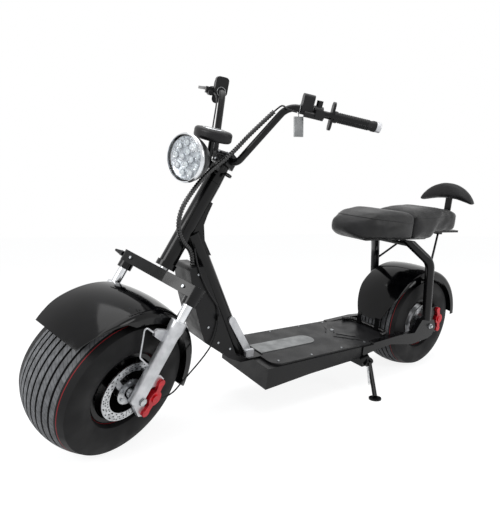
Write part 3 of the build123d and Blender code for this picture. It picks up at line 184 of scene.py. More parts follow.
def uneven(tree, blotch, colours, rough):
    """The inputs for a base colour and a roughness that both drift with a noise."""
    share = add_node(tree, "ShaderNodeMapRange", {
        "Value": blotch, **BLOTCH_SPAN, "To Min": 0.0, "To Max": 1.0,
    })
    colour = add_node(tree, "ShaderNodeMix", {
        "Factor": share, FIRST: linear(colours[0]), SECOND: linear(colours[1]),
    }, data_type="RGBA")
    shine = add_node(tree, "ShaderNodeMapRange", {
        "Value": blotch, **BLOTCH_SPAN, "To Min": rough[0], "To Max": rough[1],
    })
    return {"Base Color": colour.outputs[MIXED], "Roughness": shine}


def mottled(name, colours, blotch_mm, rough, grain_mm, grain_deep, stretch=(1, 1, 1), **shader_inputs):
    """A finish whose colour and shine drift over blotches, with a fine grain in its surface."""
    material = bpy.data.materials.new(name)
    tree = empty_tree(material)
    grain = add_node(tree, "ShaderNodeBump", {
        "Height": object_noise(tree, grain_mm, 1.0, stretch), "Distance": grain_deep * MM, "Strength": 1.0,
    })
    look = uneven(tree, object_noise(tree, blotch_mm), colours, rough)
    shader = add_node(tree, "ShaderNodeBsdfPrincipled", {**look, "Normal": grain, **shader_inputs})
    add_node(tree, "ShaderNodeOutputMaterial", {"Surface": shader})
    return material


print("part of the noise used", BLOTCH_SPAN)

# %% [markdown]
# The black parts differ in shine, not in colour. Sprayed enamel on the frame is deep black with
# an orange-peel ripple about 4 mm across. The fenders are moulded ABS, cleaner and glossier,
# wavy over a hand's width, which bends long reflections. Switches and trim are ABS moulded
# against an etched tool, the deck box is satin powder coat with fine pebbles, and hoses and
# grips are matt rubber. Black this deep sends back little light, so its specular level is low;
# a high one would turn it grey in a white studio.

# %% Black finishes
enamel = mottled(
    "gloss_black_enamel", ("#050506", "#0d0d0f"), 90, (0.14, 0.3), 4, 0.05, **{"Specular IOR Level": 0.25},
)
gloss_abs = mottled(
    "moulded_gloss_abs", ("#020203", "#08080a"), 60, (0.05, 0.14), 120, 1.0, **{"Specular IOR Level": 0.22},
)
matt_abs = mottled(
    "etched_abs", ("#0a0a0c", "#161618"), 70, (0.35, 0.5), 1.2, 0.12, **{"Specular IOR Level": 0.3},
)
powder = mottled(
    "satin_powder_coat", ("#060607", "#111113"), 35, (0.26, 0.44), 1.5, 0.08, **{"Specular IOR Level": 0.25},
)
soft = mottled(
    "soft_rubber", ("#0d0d0e", "#19191b"), 25, (0.45, 0.62), 0.9, 0.1, **{"Specular IOR Level": 0.3},
)
nylon = mottled(
    "corrugated_nylon", ("#0a0a0b", "#141415"), 30, (0.16, 0.3), 1.5, 0.05, **{"Specular IOR Level": 0.6},
)
# Painted shade: black plugs stand for the shade inside the disc's drilled holes.
hole_shade = mottled(
    "painted_hole_shade", ("#030303", "#080808"), 6, (0.5, 0.7), 1.0, 0.05, **{"Specular IOR Level": 0.1},
)
print("black finishes made")

# %% [markdown]
# The bright parts are metals. The fork's lower legs are cast aluminium under silver paint,
# cloudy and finely grained. The stanchions and lamp rim are chrome plate, almost a mirror. Discs
# are ground steel, and the wheel's marks are noise stretched across the part, coarser than the
# real ones so that they show. The deck's inlay is brushed aluminium: every scratch runs fore and
# aft, so its noise is long in X and under a millimetre in Y. The calipers' red is dye in a clear
# anodised skin, and screws are zinc plated.

# %% Metal finishes
silver = mottled(
    "silver_painted_casting", ("#c2c4c7", "#dcdde0"), 30, (0.28, 0.42), 1.5, 0.08, Metallic=0.55,
)
chrome = mottled("chrome_plate", ("#c9cbce", "#e0e2e4"), 40, (0.06, 0.14), 60, 0.02, Metallic=1.0)
steel = mottled(
    "ground_steel", ("#a2a4a6", "#c9cbcd"), 12, (0.26, 0.4), 1.2, 0.02, (1, 0.08, 1), Metallic=1.0,
)
brushed = mottled(
    "brushed_aluminium", ("#77797a", "#9c9e9f"), 45, (0.32, 0.46), 0.8, 0.03, (0.02, 1, 1), Metallic=0.85,
)
red_metal = mottled(
    "red_anodised_aluminium", ("#b80f1e", "#e4202f"), 14, (0.28, 0.42), 1.2, 0.06, Metallic=0.35,
)
zinc = mottled("zinc_plate", ("#8e9194", "#b4b7ba"), 8, (0.26, 0.4), 1.0, 0.04, Metallic=1.0)
print("metal finishes made")

# %% [markdown]
# The lamp's cover is clear polycarbonate. Behind it the reflector is pale moulded plastic with a
# thin film of aluminium, and each light cup is a clear moulded lens over a white diode, which
# looks almost white even when it is off. The display's window is smoked glass. Polycarbonate's
# real IOR is about 1.58. The cover's is lower, so that it reflects less and bends less of what
# is seen through it.

# %% Lamp and display finishes
clear = mottled(
    "clear_polycarbonate", ("#f1f4f6", "#fbfcfd"), 50, (0.01, 0.04), 80, 0.05,
    **{"IOR": 1.3, "Transmission Weight": 1.0, "Specular IOR Level": 0.2},
)
reflector_film = mottled("aluminised_film", ("#a9acb0", "#c9ccd0"), 9, (0.2, 0.36), 3, 0.3, Metallic=0.6)
diode = mottled("diode_lens", ("#dfe3e6", "#f4f6f7"), 12, (0.1, 0.2), 2, 0.1, **{"Coat Weight": 0.5})
smoked = mottled("smoked_glass", ("#0b0d0f", "#14171a"), 20, (0.05, 0.1), 30, 0.02)
print("lamp finishes made")

# %% [markdown]
# The saddle is foam under black vinyl with a leather grain: cells 1.6 mm across with soft
# creases between them, a low broad shine, and slightly greyer patches where it is rubbed. The
# creases are the places near the edges of a Voronoi pattern's cells.

# %% Grained vinyl
VINYL_CELL = 1.6
CREASE_DEEP = 0.2
CREASE_SPAN = {"From Min": 0.0, "From Max": 0.12}


def grained_vinyl():
    """Vinyl whose bump follows leather-like cells."""
    material = bpy.data.materials.new("grained_vinyl")
    tree = empty_tree(material)
    where = add_node(tree, "ShaderNodeTexCoord")
    cells = add_node(tree, "ShaderNodeTexVoronoi", {
        "Vector": where.outputs["Object"], "Scale": 1 / (VINYL_CELL * MM),
    }, feature="DISTANCE_TO_EDGE")
    pillow = add_node(tree, "ShaderNodeMapRange", {
        "Value": cells.outputs["Distance"], **CREASE_SPAN, "To Min": 0.0, "To Max": 1.0,
    })
    grain = add_node(tree, "ShaderNodeBump", {
        "Height": pillow, "Distance": CREASE_DEEP * MM, "Strength": 0.5,
    })
    look = uneven(tree, object_noise(tree, 80), ("#070708", "#121214"), (0.36, 0.5))
    shader = add_node(tree, "ShaderNodeBsdfPrincipled", {
        **look, "Normal": grain, "Specular IOR Level": 0.3, "Sheen Weight": 0.03,
    })
    add_node(tree, "ShaderNodeOutputMaterial", {"Surface": shader})
    return material


vinyl = grained_vinyl()
print("made", vinyl.name)

# %% [markdown]
# Tyre rubber is carbon black, nearly matt. The ribs get a painted highlight, a pale grey whose
# strength drifts in blotches, so they read grey between grooves that keep the black rubber, and a
# thin red ring is painted at the left shoulder. All of this follows the tyre round, so it reads
# the piece's own UV map: u runs round the tyre and v across it, both in metres. Slanted sipes
# 16 mm apart cut the ribs in bump, and painted shade darkens the highlight in each cut.

# %% Tyre rubber
GROOVE_PITCH = 22
GROOVE_WIDE = 5
DARK_REACH = 0.62
RIBBED_HALF = 82
SIPE_STEP = 16
SIPE_SHARE = 0.12
RED_RING_AT = 88.5
RED_RING_HALF = 1.0
MATH = "ShaderNodeMath"


def tread_highlight(tree, u, v):
    """How much painted highlight lies at a place, from 0 to 1, and where no sipe is cut."""
    pitches = add_node(tree, MATH, {0: v, 1: GROOVE_PITCH * MM}, operation="DIVIDE")
    moved = add_node(tree, MATH, {0: pitches, 1: 0.5}, operation="ADD")
    place = add_node(tree, MATH, {0: moved}, operation="FRACT")
    aside = add_node(tree, MATH, {0: place, 1: 0.5}, operation="SUBTRACT")
    off_groove = add_node(tree, MATH, {0: aside}, operation="ABSOLUTE")
    dark_half = DARK_REACH * GROOVE_WIDE / GROOVE_PITCH
    rib = add_node(tree, MATH, {0: off_groove, 1: dark_half}, operation="GREATER_THAN")
    across = add_node(tree, MATH, {0: v}, operation="ABSOLUTE")
    on_tread = add_node(tree, MATH, {0: across, 1: RIBBED_HALF * MM}, operation="LESS_THAN")
    slant = add_node(tree, MATH, {0: u, 1: v}, operation="ADD")
    sipes = add_node(tree, MATH, {0: slant, 1: SIPE_STEP * MM}, operation="DIVIDE")
    phase = add_node(tree, MATH, {0: sipes}, operation="FRACT")
    uncut = add_node(tree, MATH, {0: phase, 1: SIPE_SHARE}, operation="GREATER_THAN")
    # Painted highlight: its strength on the ribs drifts with a noise.
    highlight_strength = add_node(tree, "ShaderNodeMapRange", {
        "Value": object_noise(tree, 18, 5.0), **BLOTCH_SPAN, "To Min": 0.55, "To Max": 1.0,
    })
    ribs = add_node(tree, MATH, {0: rib, 1: on_tread}, operation="MULTIPLY")
    highlighted_ribs = add_node(tree, MATH, {0: ribs, 1: highlight_strength}, operation="MULTIPLY")
    # Painted shade in the sipes: the highlight falls to 0.45 of itself in each cut.
    sipe_shade = add_node(tree, "ShaderNodeMapRange", {
        "Value": uncut, "From Min": 0.0, "From Max": 1.0, "To Min": 0.45, "To Max": 1.0,
    })
    share = add_node(tree, MATH, {0: highlighted_ribs, 1: sipe_shade}, operation="MULTIPLY")
    off_tread = add_node(tree, MATH, {0: 1.0, 1: on_tread}, operation="SUBTRACT")
    height = add_node(tree, MATH, {0: uncut, 1: off_tread}, operation="MAXIMUM")
    return share, height


def tyre_rubber():
    """Black rubber with painted highlights on the ribs, painted shade in the sipes and a painted ring."""
    material = bpy.data.materials.new("tyre_rubber")
    tree = empty_tree(material)
    laid_out = add_node(tree, "ShaderNodeUVMap", uv_map="round_across")
    apart = add_node(tree, "ShaderNodeSeparateXYZ", {"Vector": laid_out})
    share, height = tread_highlight(tree, apart.outputs["X"], apart.outputs["Y"])
    look = uneven(tree, object_noise(tree, 55, 4.0), ("#0c0c0d", "#181819"), (0.5, 0.7))
    # The ribs' pale grey #85878a is a painted highlight, not the rubber's own colour.
    ribbed = add_node(tree, "ShaderNodeMix", {
        "Factor": share, FIRST: look["Base Color"], SECOND: linear("#85878a"),
    }, data_type="RGBA")
    aside = add_node(tree, MATH, {0: apart.outputs["Y"], 1: RED_RING_AT * MM}, operation="SUBTRACT")
    off_ring = add_node(tree, MATH, {0: aside}, operation="ABSOLUTE")
    on_ring = add_node(tree, MATH, {0: off_ring, 1: RED_RING_HALF * MM}, operation="LESS_THAN")
    painted = add_node(tree, "ShaderNodeMix", {
        "Factor": on_ring, FIRST: ribbed.outputs[MIXED], SECOND: linear("#9c2a30"),
    }, data_type="RGBA")
    cuts = add_node(tree, "ShaderNodeBump", {"Height": height, "Distance": 1.0 * MM, "Strength": 0.5})
    shader = add_node(tree, "ShaderNodeBsdfPrincipled", {
        "Base Color": painted.outputs[MIXED], "Roughness": look["Roughness"], "Normal": cuts,
        "Specular IOR Level": 0.2,
    })
    add_node(tree, "ShaderNodeOutputMaterial", {"Surface": shader})
    return material


rubber = tyre_rubber()
print("made", rubber.name)

# %% [markdown]
# Each finish is handed to the solids by a short table. The slot's old material is swapped, and
# nothing about the solid's shape changes.

# %% Finishes for the solids
FINISHES = (
    (enamel, (
        "head_tube", "down_tube", "rear_stays", "seat_legs", "seat_pan", "bar_yoke", "triple_clamp",
        "handlebar", "stand_bracket", "side_stand", "front_rim", "rear_rim", "lamp_bracket",
        "hose_guide", "backrest_post", "brake_levers",
    )),
    (powder, ("deck_pan", "front_box", "battery")),
    (matt_abs, (
        "deck_cover", "tail_plate", "lever_perches", "switch_pods", "display", "headlight",
        "grip_plates", "clamp_stub",
    )),
    (gloss_abs, ("front_fender", "rear_fender")),
    (rubber, ("front_tyre", "rear_tyre")),
    (soft, ("grips", "left_hose", "lower_hose", "right_hose")),
    (nylon, ("wiring_loom", "rear_conduit")),
    (vinyl, ("seat_front", "seat_rear", "backrest")),
    (silver, ("fork_legs", "hub_motor", "bar_ends", "side_bar")),
    (brushed, ("deck_strip", "key_fobs")),
    (chrome, ("stanchions", "headlight_bezel")),
    (steel, ("front_rotor", "rear_rotor", "front_axle", "rear_axle", "steering_stem")),
    (red_metal, ("front_caliper", "rear_caliper")),
    (clear, ("headlight_lens",)),
)
for finish, names in FINISHES:
    for name in names:
        for place in nodes[name].material_slots:
            place.material = finish
print("finished", sum(len(names) for _, names in FINISHES), "of", len(nodes))

# %% [markdown]
# New pieces are turned or are small blocks. A piece is drawn in the frame where its sizes are
# plain, in millimetres, then carried to its place by a matrix, so its object stays at the
# origin. Edges sharper than a given angle stay crisp.

# %% Making a piece
SMOOTH_ANGLE = radians(35)


def add_object(name, data, body, finish):
    """Makes an object of a mesh or curve; a body is given unless it rides later or on none."""
    data.materials.clear()
    data.materials.append(finish)
    made = bpy.data.objects.new(name, data)
    bpy.context.collection.objects.link(made)
    if body:
        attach(made, body)
    return made


def add_piece(name, bm, body, finish, place):
    """Carries a bmesh from millimetres to its place and makes it a piece riding on a body."""
    bmesh.ops.transform(bm, matrix=place @ Matrix.Scale(MM, 4), verts=bm.verts)
    bmesh.ops.recalc_face_normals(bm, faces=bm.faces)
    for edge in bm.edges:
        edge.smooth = not (edge.is_manifold and edge.calc_face_angle() > SMOOTH_ANGLE)
    for face in bm.faces:
        face.smooth = True
    mesh = bpy.data.meshes.new(name)
    bm.to_mesh(mesh)
    bm.free()
    return add_object(name, mesh, body, finish)


print("edges stay crisp above", round(SMOOTH_ANGLE * 180 / pi), "degrees")

# %% [markdown]
# The lathe spins a line of points about Y, the axle's direction. A full turn ends where it
# began, so points nearer together than MERGE, in millimetres, are joined afterwards. Pegs are
# short prisms for screws, nuts and plugs, and blocks are boxes with softened edges.

# %% Lathe, pegs and blocks
MERGE = 0.001
PEG_TAPER = 0.9
SOFT_EDGE = 0.25


def turned(points, steps):
    """Spins a closed line of (radius, along) points round the Y axis."""
    bm = bmesh.new()
    corners = [bm.verts.new((radius, along, 0)) for radius, along in points]
    edges = [bm.edges.new(pair) for pair in zip(corners, corners[1:] + corners[:1])]
    bmesh.ops.spin(
        bm, geom=corners + edges, cent=(0, 0, 0), axis=(0, 1, 0), angle=2 * pi, steps=steps, use_merge=True,
    )
    bmesh.ops.remove_doubles(bm, verts=bm.verts, dist=MERGE)
    return bm


def facing(at, direction):
    """A place, in millimetres, whose Y axis runs along a direction."""
    y_axis = Vector(direction).normalized()
    other = Vector((0, 0, 1)) if abs(y_axis.z) < 0.9 else Vector((1, 0, 0))
    x_axis = y_axis.cross(other).normalized()
    return frame_from(Vector(at), x_axis, y_axis, x_axis.cross(y_axis))


def in_metres(place):
    """The same place with its position in metres."""
    return Matrix.Translation(place.translation * MM) @ place.to_3x3().to_4x4()


def peg(bm, at, direction, radius, long, sides=6):
    """A short prism or cylinder whose middle is at a point."""
    spot = Matrix.Translation(at) @ Vector(direction).to_track_quat("Z", "Y").to_matrix().to_4x4()
    bmesh.ops.create_cone(
        bm, cap_ends=True, segments=sides, radius1=radius, radius2=radius * PEG_TAPER, depth=long,
        matrix=spot,
    )


def block(bm, at, size, turn):
    """A box with softened edges, turned about Z by a number of degrees."""
    spot = Matrix.Translation(at) @ Matrix.Rotation(radians(turn), 4, "Z") @ Matrix.Diagonal((*size, 1))
    made = bmesh.ops.create_cube(bm, size=1, matrix=spot)["verts"]
    edges = {edge for vertex in made for edge in vertex.link_edges}
    bmesh.ops.bevel(
        bm, geom=list(edges), offset=min(size) * SOFT_EDGE, segments=2, profile=0.5, affect="EDGES",
        material=-1,
    )


print("merging distance in mm", MERGE)

# %% [markdown]
# Hoses follow smooth splines through the same route points as the solids. A plain hose is a
# curve with a round section. Order and end rule are set after the points are added, because set
# before, they leave a spline at straight runs.

# %% Splines along a route
NURBS_ORDER = 3


def route_curve(name, points, place, radius):
    """A spline through route points given in millimetres of a frame."""
    curve = bpy.data.curves.new(name, "CURVE")
    curve.dimensions = "3D"
    curve.resolution_u = 10
    curve.bevel_depth = radius * MM
    curve.bevel_resolution = 3
    curve.use_fill_caps = radius > 0
    line = curve.splines.new("NURBS")
    line.points.add(len(points) - 1)
    for spot, point in zip(line.points, points):
        spot.co = (*(place @ (Vector(point) * MM)), 1)
    line.order_u = NURBS_ORDER
    line.use_endpoint_u = True
    return curve


def read_back(shell):
    """The mesh that a curve makes, with the curve's object removed."""
    bpy.context.collection.objects.link(shell)
    mesh = bpy.data.meshes.new_from_object(shell)
    bpy.data.objects.remove(shell)
    return mesh


def line_points(points, place):
    """Points read along a route's own spline, in metres."""
    mesh = read_back(bpy.data.objects.new("line", route_curve("line", points, place, 0)))
    return [vertex.co.copy() for vertex in mesh.vertices]


def length_of(points):
    """The length of a line of points, to a millimetre."""
    return round(sum((b - a).length for a, b in zip(points, points[1:])), 3)


print("spline order", NURBS_ORDER)

# %% [markdown]
# The loom and the conduit are corrugated nylon, 9 mm from ridge to ridge. Their points are read
# from the spline, a quarter of a ridge apart, and the section swells and narrows along them.

# %% Tubes along a line
RIDGE = 9 * MM
RIDGE_STEPS = 4
VALLEY = 0.8


def spaced(points, step):
    """The same line with points a step apart."""
    found, left = [points[0]], step
    for start, end in zip(points, points[1:]):
        run = (end - start).length
        while run >= left:
            start = start + (end - start).normalized() * left
            found.append(start)
            run -= left
            left = step
        left -= run
    return found


def tube_mesh(name, path, sizes, roundness):
    """A tube along points, with a radius in millimetres for each."""
    curve = bpy.data.curves.new(name, "CURVE")
    curve.dimensions = "3D"
    curve.bevel_depth = MM
    curve.bevel_resolution = roundness
    curve.use_fill_caps = True
    line = curve.splines.new("POLY")
    line.points.add(len(path) - 1)
    for spot, point, size in zip(line.points, path, sizes):
        spot.co = (*point, 1)
        spot.radius = size
    mesh = read_back(bpy.data.objects.new(name, curve))
    mesh.shade_smooth()
    mesh.name = name
    return mesh


def declare_tube(tube, node, bend=None):
    """Hides the solid that a tube replaces, and bakes the place of a tube that is given a bend."""
    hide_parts(node)
    if bend:
        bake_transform(tube)


def corrugated(name, node, points, radius, place, body, bend=None):
    """A tube whose section swells and narrows once a ridge."""
    path = spaced(line_points(points, place), RIDGE / RIDGE_STEPS)
    sizes = [radius if number % RIDGE_STEPS in (0, 1) else radius * VALLEY for number in range(len(path))]
    tube = add_object(name, tube_mesh(name, path, sizes, 4), body, nylon)
    declare_tube(tube, node, bend)
    print(name, "length in metres", length_of(path))


print("points to a ridge", RIDGE_STEPS)

# %% [markdown]
# The left lever's hose enters the loom's top, the right lever's its side below the display, and
# the caliper's hose leaves it again above the box. It runs down the box's left side through a
# clip and hangs in one easy curve to the caliper. At the rear a ribbed conduit crosses the tail.

# %% Routes of the cords
CABLE_R = 2.5
LOOM_R = 7.5
CONDUIT_R = 8.5
CONDUIT_Z = 212.5
CLIP_X = WHEELBASE - 342


def in_fork(*points):
    """Points of the upright scooter's frame as points of the steered fork's frame."""
    to_fork = FORK.inverted() @ BIKE
    return tuple(to_fork @ (Vector(point) * MM) / MM for point in points)


LOOM = (
    (32, 103, 936), (28, 60, 846), (20, 40, 805), (40, 40, 752), (70.5, 24, 667.6), (100, 36, 596),
    (112, 42, 528), (84, 42, 478), (36, 42, 452), *in_fork((1190, 36, 591), (1190, 36, 548.2)),
)
LEFT_HOSE = (
    (19, 170.5, 958.9), (36, 147.6, 949.6), (36, 128, 961), (33, 114, 958.5), (32, 103.1, 936.3),
)
RIGHT_HOSE = (
    (19, -170.5, 958.9), (36, -147.6, 949.6), (40, -118, 920), (40, -92, 860),
    (40, -62, 796), (46, -34, 752), (46, 0, 744), (42, 29.7, 748),
)
LOWER_HOSE = (
    *in_fork(
        (1190, 46.3, 605), (1186, 54, 572), (1180, 63, 540), (1161, 64, 500), (1136, 65, 457),
        (1115, 67, 430), (CLIP_X, 66, 405), (CLIP_X, 66, 345),
    ),
    (-210, 157, 214), (-197, 157, 160), (-177, 156, 112), (-158, 154, 66), (-146, 150, 20), (-118, 137, -2),
)
REAR_CONDUIT = tuple(
    (x, y, CONDUIT_Z) for x, y in ((300, -112), (262, -106), (245, -84), (245, 84), (262, 106), (300, 112))
)
LOOM_FREE, HOSE_FREE = 6, 7
print("route points", len(LOOM), len(LEFT_HOSE), len(RIGHT_HOSE), len(LOWER_HOSE), len(REAR_CONDUIT))

# %% [markdown]
# The loom and the caliper's hose cross the steering joint. Neither rides on a body: each stays
# baked in place in the model's own frame.

# %% Hoses and loom
corrugated(
    "corrugated_loom", "wiring_loom", LOOM, LOOM_R, FORK, None,
    ("fork", "frame", FORK @ (Vector(LOOM[LOOM_FREE]) * MM), FORK @ (Vector(LOOM[-1]) * MM)),
)
corrugated("ribbed_conduit", "rear_conduit", REAR_CONDUIT, CONDUIT_R, BIKE, "frame")
for name, points in (("left_hose", LEFT_HOSE), ("right_hose", RIGHT_HOSE)):
    hose = add_object(name + "_run", route_curve(name, points, FORK, CABLE_R), "fork", soft)
    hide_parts(name)
    length_of(line_points(points, FORK))
lower_path = line_points(LOWER_HOSE, FORK)
lower_mesh = tube_mesh("lower_hose_run", lower_path, [CABLE_R] * len(lower_path), 3)
lower_run = add_object("lower_hose_run", lower_mesh, None, soft)
declare_tube(lower_run, "lower_hose", (
    "frame", "fork", FORK @ (Vector(LOWER_HOSE[HOSE_FREE]) * MM), FORK @ (Vector(LOWER_HOSE[-1]) * MM),
))
print("lower hose length in metres", length_of(lower_path))

# %% [markdown]
# The tyre replaces its plain solid. Its section is worked from the same crown, bulge and bead
# as the solid: a sidewall that bulges like part of an ellipse, and a domed tread with straight
# grooves cut round it.

# %% The tyre's section
CROWN_R = 240
TREAD_HALF = 90
TYRE_HALF = 113
BEAD_R = 102
BEAD_HALF = 84
WALL_FROM_R = 112
BULGE_R = 165
BULGE_REACH = 62
WALL_STEPS = 12
GROOVES = tuple(range(-3 * GROOVE_PITCH, 3 * GROOVE_PITCH + 1, GROOVE_PITCH))
GROOVE_DEEP = 4
GROOVE_LIP = 0.8
GROOVE_SLOPE = 0.6
RIB_CREST = 8.5
LAST_RIB_AT = 78


def crown_height(across):
    """The tread's radius at a distance across it."""
    return TYRE_R - CROWN_R + sqrt(CROWN_R**2 - across**2)


def on_crown(across):
    """A (radius, along) point on the tread's dome."""
    return crown_height(across), across


def tyre_section():
    """Round sidewalls joined by the grooved tread, as (radius, along) points."""
    wall = [(BEAD_R, -BEAD_HALF), (WALL_FROM_R, -BEAD_HALF)]
    shoulder = crown_height(TREAD_HALF)
    for step in range(1, WALL_STEPS):
        radius = WALL_FROM_R + (shoulder - WALL_FROM_R) * step / WALL_STEPS
        bow = sqrt(max(0.0, 1 - ((radius - BULGE_R) / BULGE_REACH) ** 2))
        wall.append((radius, -(BEAD_HALF + (TYRE_HALF - BEAD_HALF) * bow)))
    tread = [(shoulder, -TREAD_HALF)]
    half = GROOVE_WIDE / 2
    for groove in GROOVES:
        low = crown_height(groove) - GROOVE_DEEP
        tread += [
            on_crown(groove - RIB_CREST), on_crown(groove - half - GROOVE_LIP),
            (low, groove - half + GROOVE_SLOPE), (low, groove + half - GROOVE_SLOPE),
            on_crown(groove + half + GROOVE_LIP),
        ]
    tread += [on_crown(LAST_RIB_AT), (shoulder, TREAD_HALF)]
    return wall + tread + [(radius, -along) for radius, along in reversed(wall)]


print("points in the tyre's section", len(tyre_section()))

# %% [markdown]
# The section is spun round the axle. Each loop then gets a UV from its angle round the axle and
# its distance across, which the rubber's paint and sipes follow. An angle is taken near that of
# the face's middle, so that the face where the turn closes isn't stretched round the tyre.

# %% Tyres
TYRE_STEPS = 144


def turn_of(spot):
    """The angle of a point round the axle."""
    return Vector((spot.x, spot.z)).angle_signed(Vector((1, 0)))


def add_tyre(name, hub, body):
    """A tyre with its UV map, in place of the plain solid."""
    bm = turned(tyre_section(), TYRE_STEPS)
    layer = bm.loops.layers.uv.new("round_across")
    for face in bm.faces:
        turn = turn_of(face.calc_center_median())
        for loop in face.loops:
            own = turn_of(loop.vert.co)
            own += 2 * pi * round((turn - own) / (2 * pi))
            loop[layer].uv = (own * TYRE_R * MM, loop.vert.co.y * MM)
    made = add_piece(name + "_dressed", bm, body, rubber, hub)
    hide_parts(name)
    print(made.name, "faces", len(made.data.polygons))


add_tyre("front_tyre", FORK, "front_wheel")
add_tyre("rear_tyre", REAR_HUB, "rear_wheel")

# %% [markdown]
# The disc's band is drilled in three staggered rows, and six screws hold it to the hub. A hole
# this small reads as a dark dot of shade, so that shade is painted: each hole is a thin black
# plug that stands barely proud of the steel.

# %% Disc holes and screws
ROTOR_Y = 110
HOLE_ROWS = ((72, 24, 0.0), (79, 24, 0.5), (86, 24, 0.0))
HOLE_R = 2.3
HOLE_PLUG = 4.6
SCREW_COUNT = 6
SCREW_RING_R = 30
SCREW_R = 4.5
AXLE_DIR = (0, 1, 0)


def round_axle(radius, share, along):
    """A point at a share of the turn round the Y axis."""
    turn = 2 * pi * share
    return radius * cos(turn), along, radius * sin(turn)


for hub, body, tag in ((FORK, "front_wheel", "front"), (REAR_HUB, "rear_wheel", "rear")):
    holes = bmesh.new()
    for radius, count, offset in HOLE_ROWS:
        for number in range(count):
            spot = round_axle(radius, (number + offset) / count, ROTOR_Y)
            peg(holes, spot, AXLE_DIR, HOLE_R, HOLE_PLUG, 10)
    add_piece(tag + "_disc_hole_shade", holes, body, hole_shade, hub)
    screws = bmesh.new()
    for number in range(SCREW_COUNT):
        peg(screws, round_axle(SCREW_RING_R, number / SCREW_COUNT, ROTOR_Y + 3), AXLE_DIR, SCREW_R, 5, 12)
    add_piece(tag + "_disc_screws", screws, body, zinc, hub)
print("holes in a disc", sum(count for _, count, _ in HOLE_ROWS))

# %% [markdown]
# The lamp holds thirteen small light cups in two rings. The reflector plate is a shallow dish
# turned on the lathe, and each cup is a turned rim with a domed lens in it. Profiles give the
# radius and the distance ahead of the lamp's middle.

# %% Headlamp
LAMP_AT = Vector((160, 0, 660))
LAMP = FORK @ in_metres(facing(LAMP_AT, LEVEL_X))
CUP_RINGS = ((18, 4), (44, 9))
CUP_STEPS = 18
DISH = ((0.01, -15), (56, -14), (62, -10), (62, -12), (57, -16), (0.01, -18))
CUP = ((0.01, -8), (5, -9), (8.2, -12), (8.2, -15), (0.01, -15))
CUP_RIM = ((8.4, -11), (10.2, -10), (11, -13), (10.4, -15), (8.4, -15))


def ring_of(profile):
    """One turned shape repeated at every place of the cup rings."""
    whole = bmesh.new()
    for ring_r, count in CUP_RINGS:
        for number in range(count):
            part = turned(profile, CUP_STEPS)
            bmesh.ops.translate(part, vec=round_axle(ring_r, number / count, 0), verts=part.verts)
            keep = bpy.data.meshes.new("cup")
            part.to_mesh(keep)
            part.free()
            whole.from_mesh(keep)
            bpy.data.meshes.remove(keep)
    return whole


add_piece("lamp_reflector", turned(DISH, 64), "fork", reflector_film, LAMP)
add_piece("lamp_cups", ring_of(CUP), "fork", diode, LAMP)
add_piece("lamp_cup_rims", ring_of(CUP_RIM), "fork", chrome, LAMP)
print("light cups", sum(count for _, count in CUP_RINGS))

# %% [markdown]
# The display is a smooth pod behind the lamp. Its dark window is set in the level top, with a
# thin bright ring round it. Profiles give the radius and the height above the pod's middle.

# %% Display window
DISPLAY_BACK = 106
DISPLAY_UP = 75
DISPLAY_AT = LAMP_AT - LEVEL_X * DISPLAY_BACK + LEVEL_Z * DISPLAY_UP
DISPLAY = FORK @ in_metres(facing(DISPLAY_AT, LEVEL_Z))
WINDOW = ((0.01, 15), (30, 15), (31, 17.4), (30, 18.2), (0.01, 18.4))
WINDOW_RING = ((31, 14), (34, 14), (34, 17.8), (32.5, 18.8), (31, 18.2))
WINDOW_STEPS = 48
add_piece("display_window", turned(WINDOW, WINDOW_STEPS), "fork", smoked, DISPLAY)
add_piece("display_ring", turned(WINDOW_RING, WINDOW_STEPS), "fork", chrome, DISPLAY)
print("display in the fork's frame", [round(c) for c in DISPLAY_AT])

# %% [markdown]
# Each rubber grip has a ribbed waist between two smooth collars, so it replaces its plain
# sleeve. The ribs are turned with the sleeve, 6 mm apart, as a lathe would cut the mould. The
# sleeve runs along the bar's end stretch, from its inner end to the grip's outer end.

# %% Grips
BAR_BEND = Vector((24, 134, 970))
GRIP_END = Vector((-138, 352, 1059))
GRIP_DIR = (GRIP_END - BAR_BEND).normalized()
GRIP_LONG = 142
RIB_STEP = 6
RIBS_FROM = 18
PLAIN_LONG = 40
BORE_R = 11.2
VALLEY_R = 15
RIB_R = 16.2
INNER_COLLAR = ((BORE_R, 1), (17, 1), (17.8, 4), (17.8, 12), (VALLEY_R, 15))
OUTER_COLLAR = ((VALLEY_R, 16), (16.6, 12), (16.6, 2), (BORE_R, 2))


def grip_profile():
    """The sleeve's (radius, along) points; the outer collar's are given from the outer end."""
    points = list(INNER_COLLAR)
    for rib in range((GRIP_LONG - PLAIN_LONG) // RIB_STEP):
        at = RIBS_FROM + rib * RIB_STEP
        points += [(VALLEY_R, at), (RIB_R, at + 1), (RIB_R, at + 3.4), (VALLEY_R, at + 4.4)]
    return points + [(radius, GRIP_LONG - back) for radius, back in OUTER_COLLAR]


def on_side(side, point):
    """A fork point on the left (1) or its mirror on the right (-1)."""
    return Vector((point[0], side * point[1], point[2]))


for side, tag in ((1, "left"), (-1, "right")):
    start = on_side(side, GRIP_END - GRIP_DIR * GRIP_LONG)
    place = FORK @ in_metres(facing(start, on_side(side, GRIP_DIR)))
    grip = add_piece(tag + "_ribbed_grip", turned(grip_profile(), 40), "fork", soft, place)
    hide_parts("grips")
print("points in the grip's profile", len(grip_profile()))

# %% [markdown]
# The saddle is foam pulled over a pan, so its solids are only its room. A cloth bag under air
# pressure gives the swell of stuffed vinyl. Only the swelling is capped, so that a corner that
# lets go doesn't spoil the shape.

# %% Swelling a pad
SWELL_FRAMES = 20
SWELL_PRESSURE = 4
SWELL_TENSION = 40
SWELL_CAP = 7 * MM


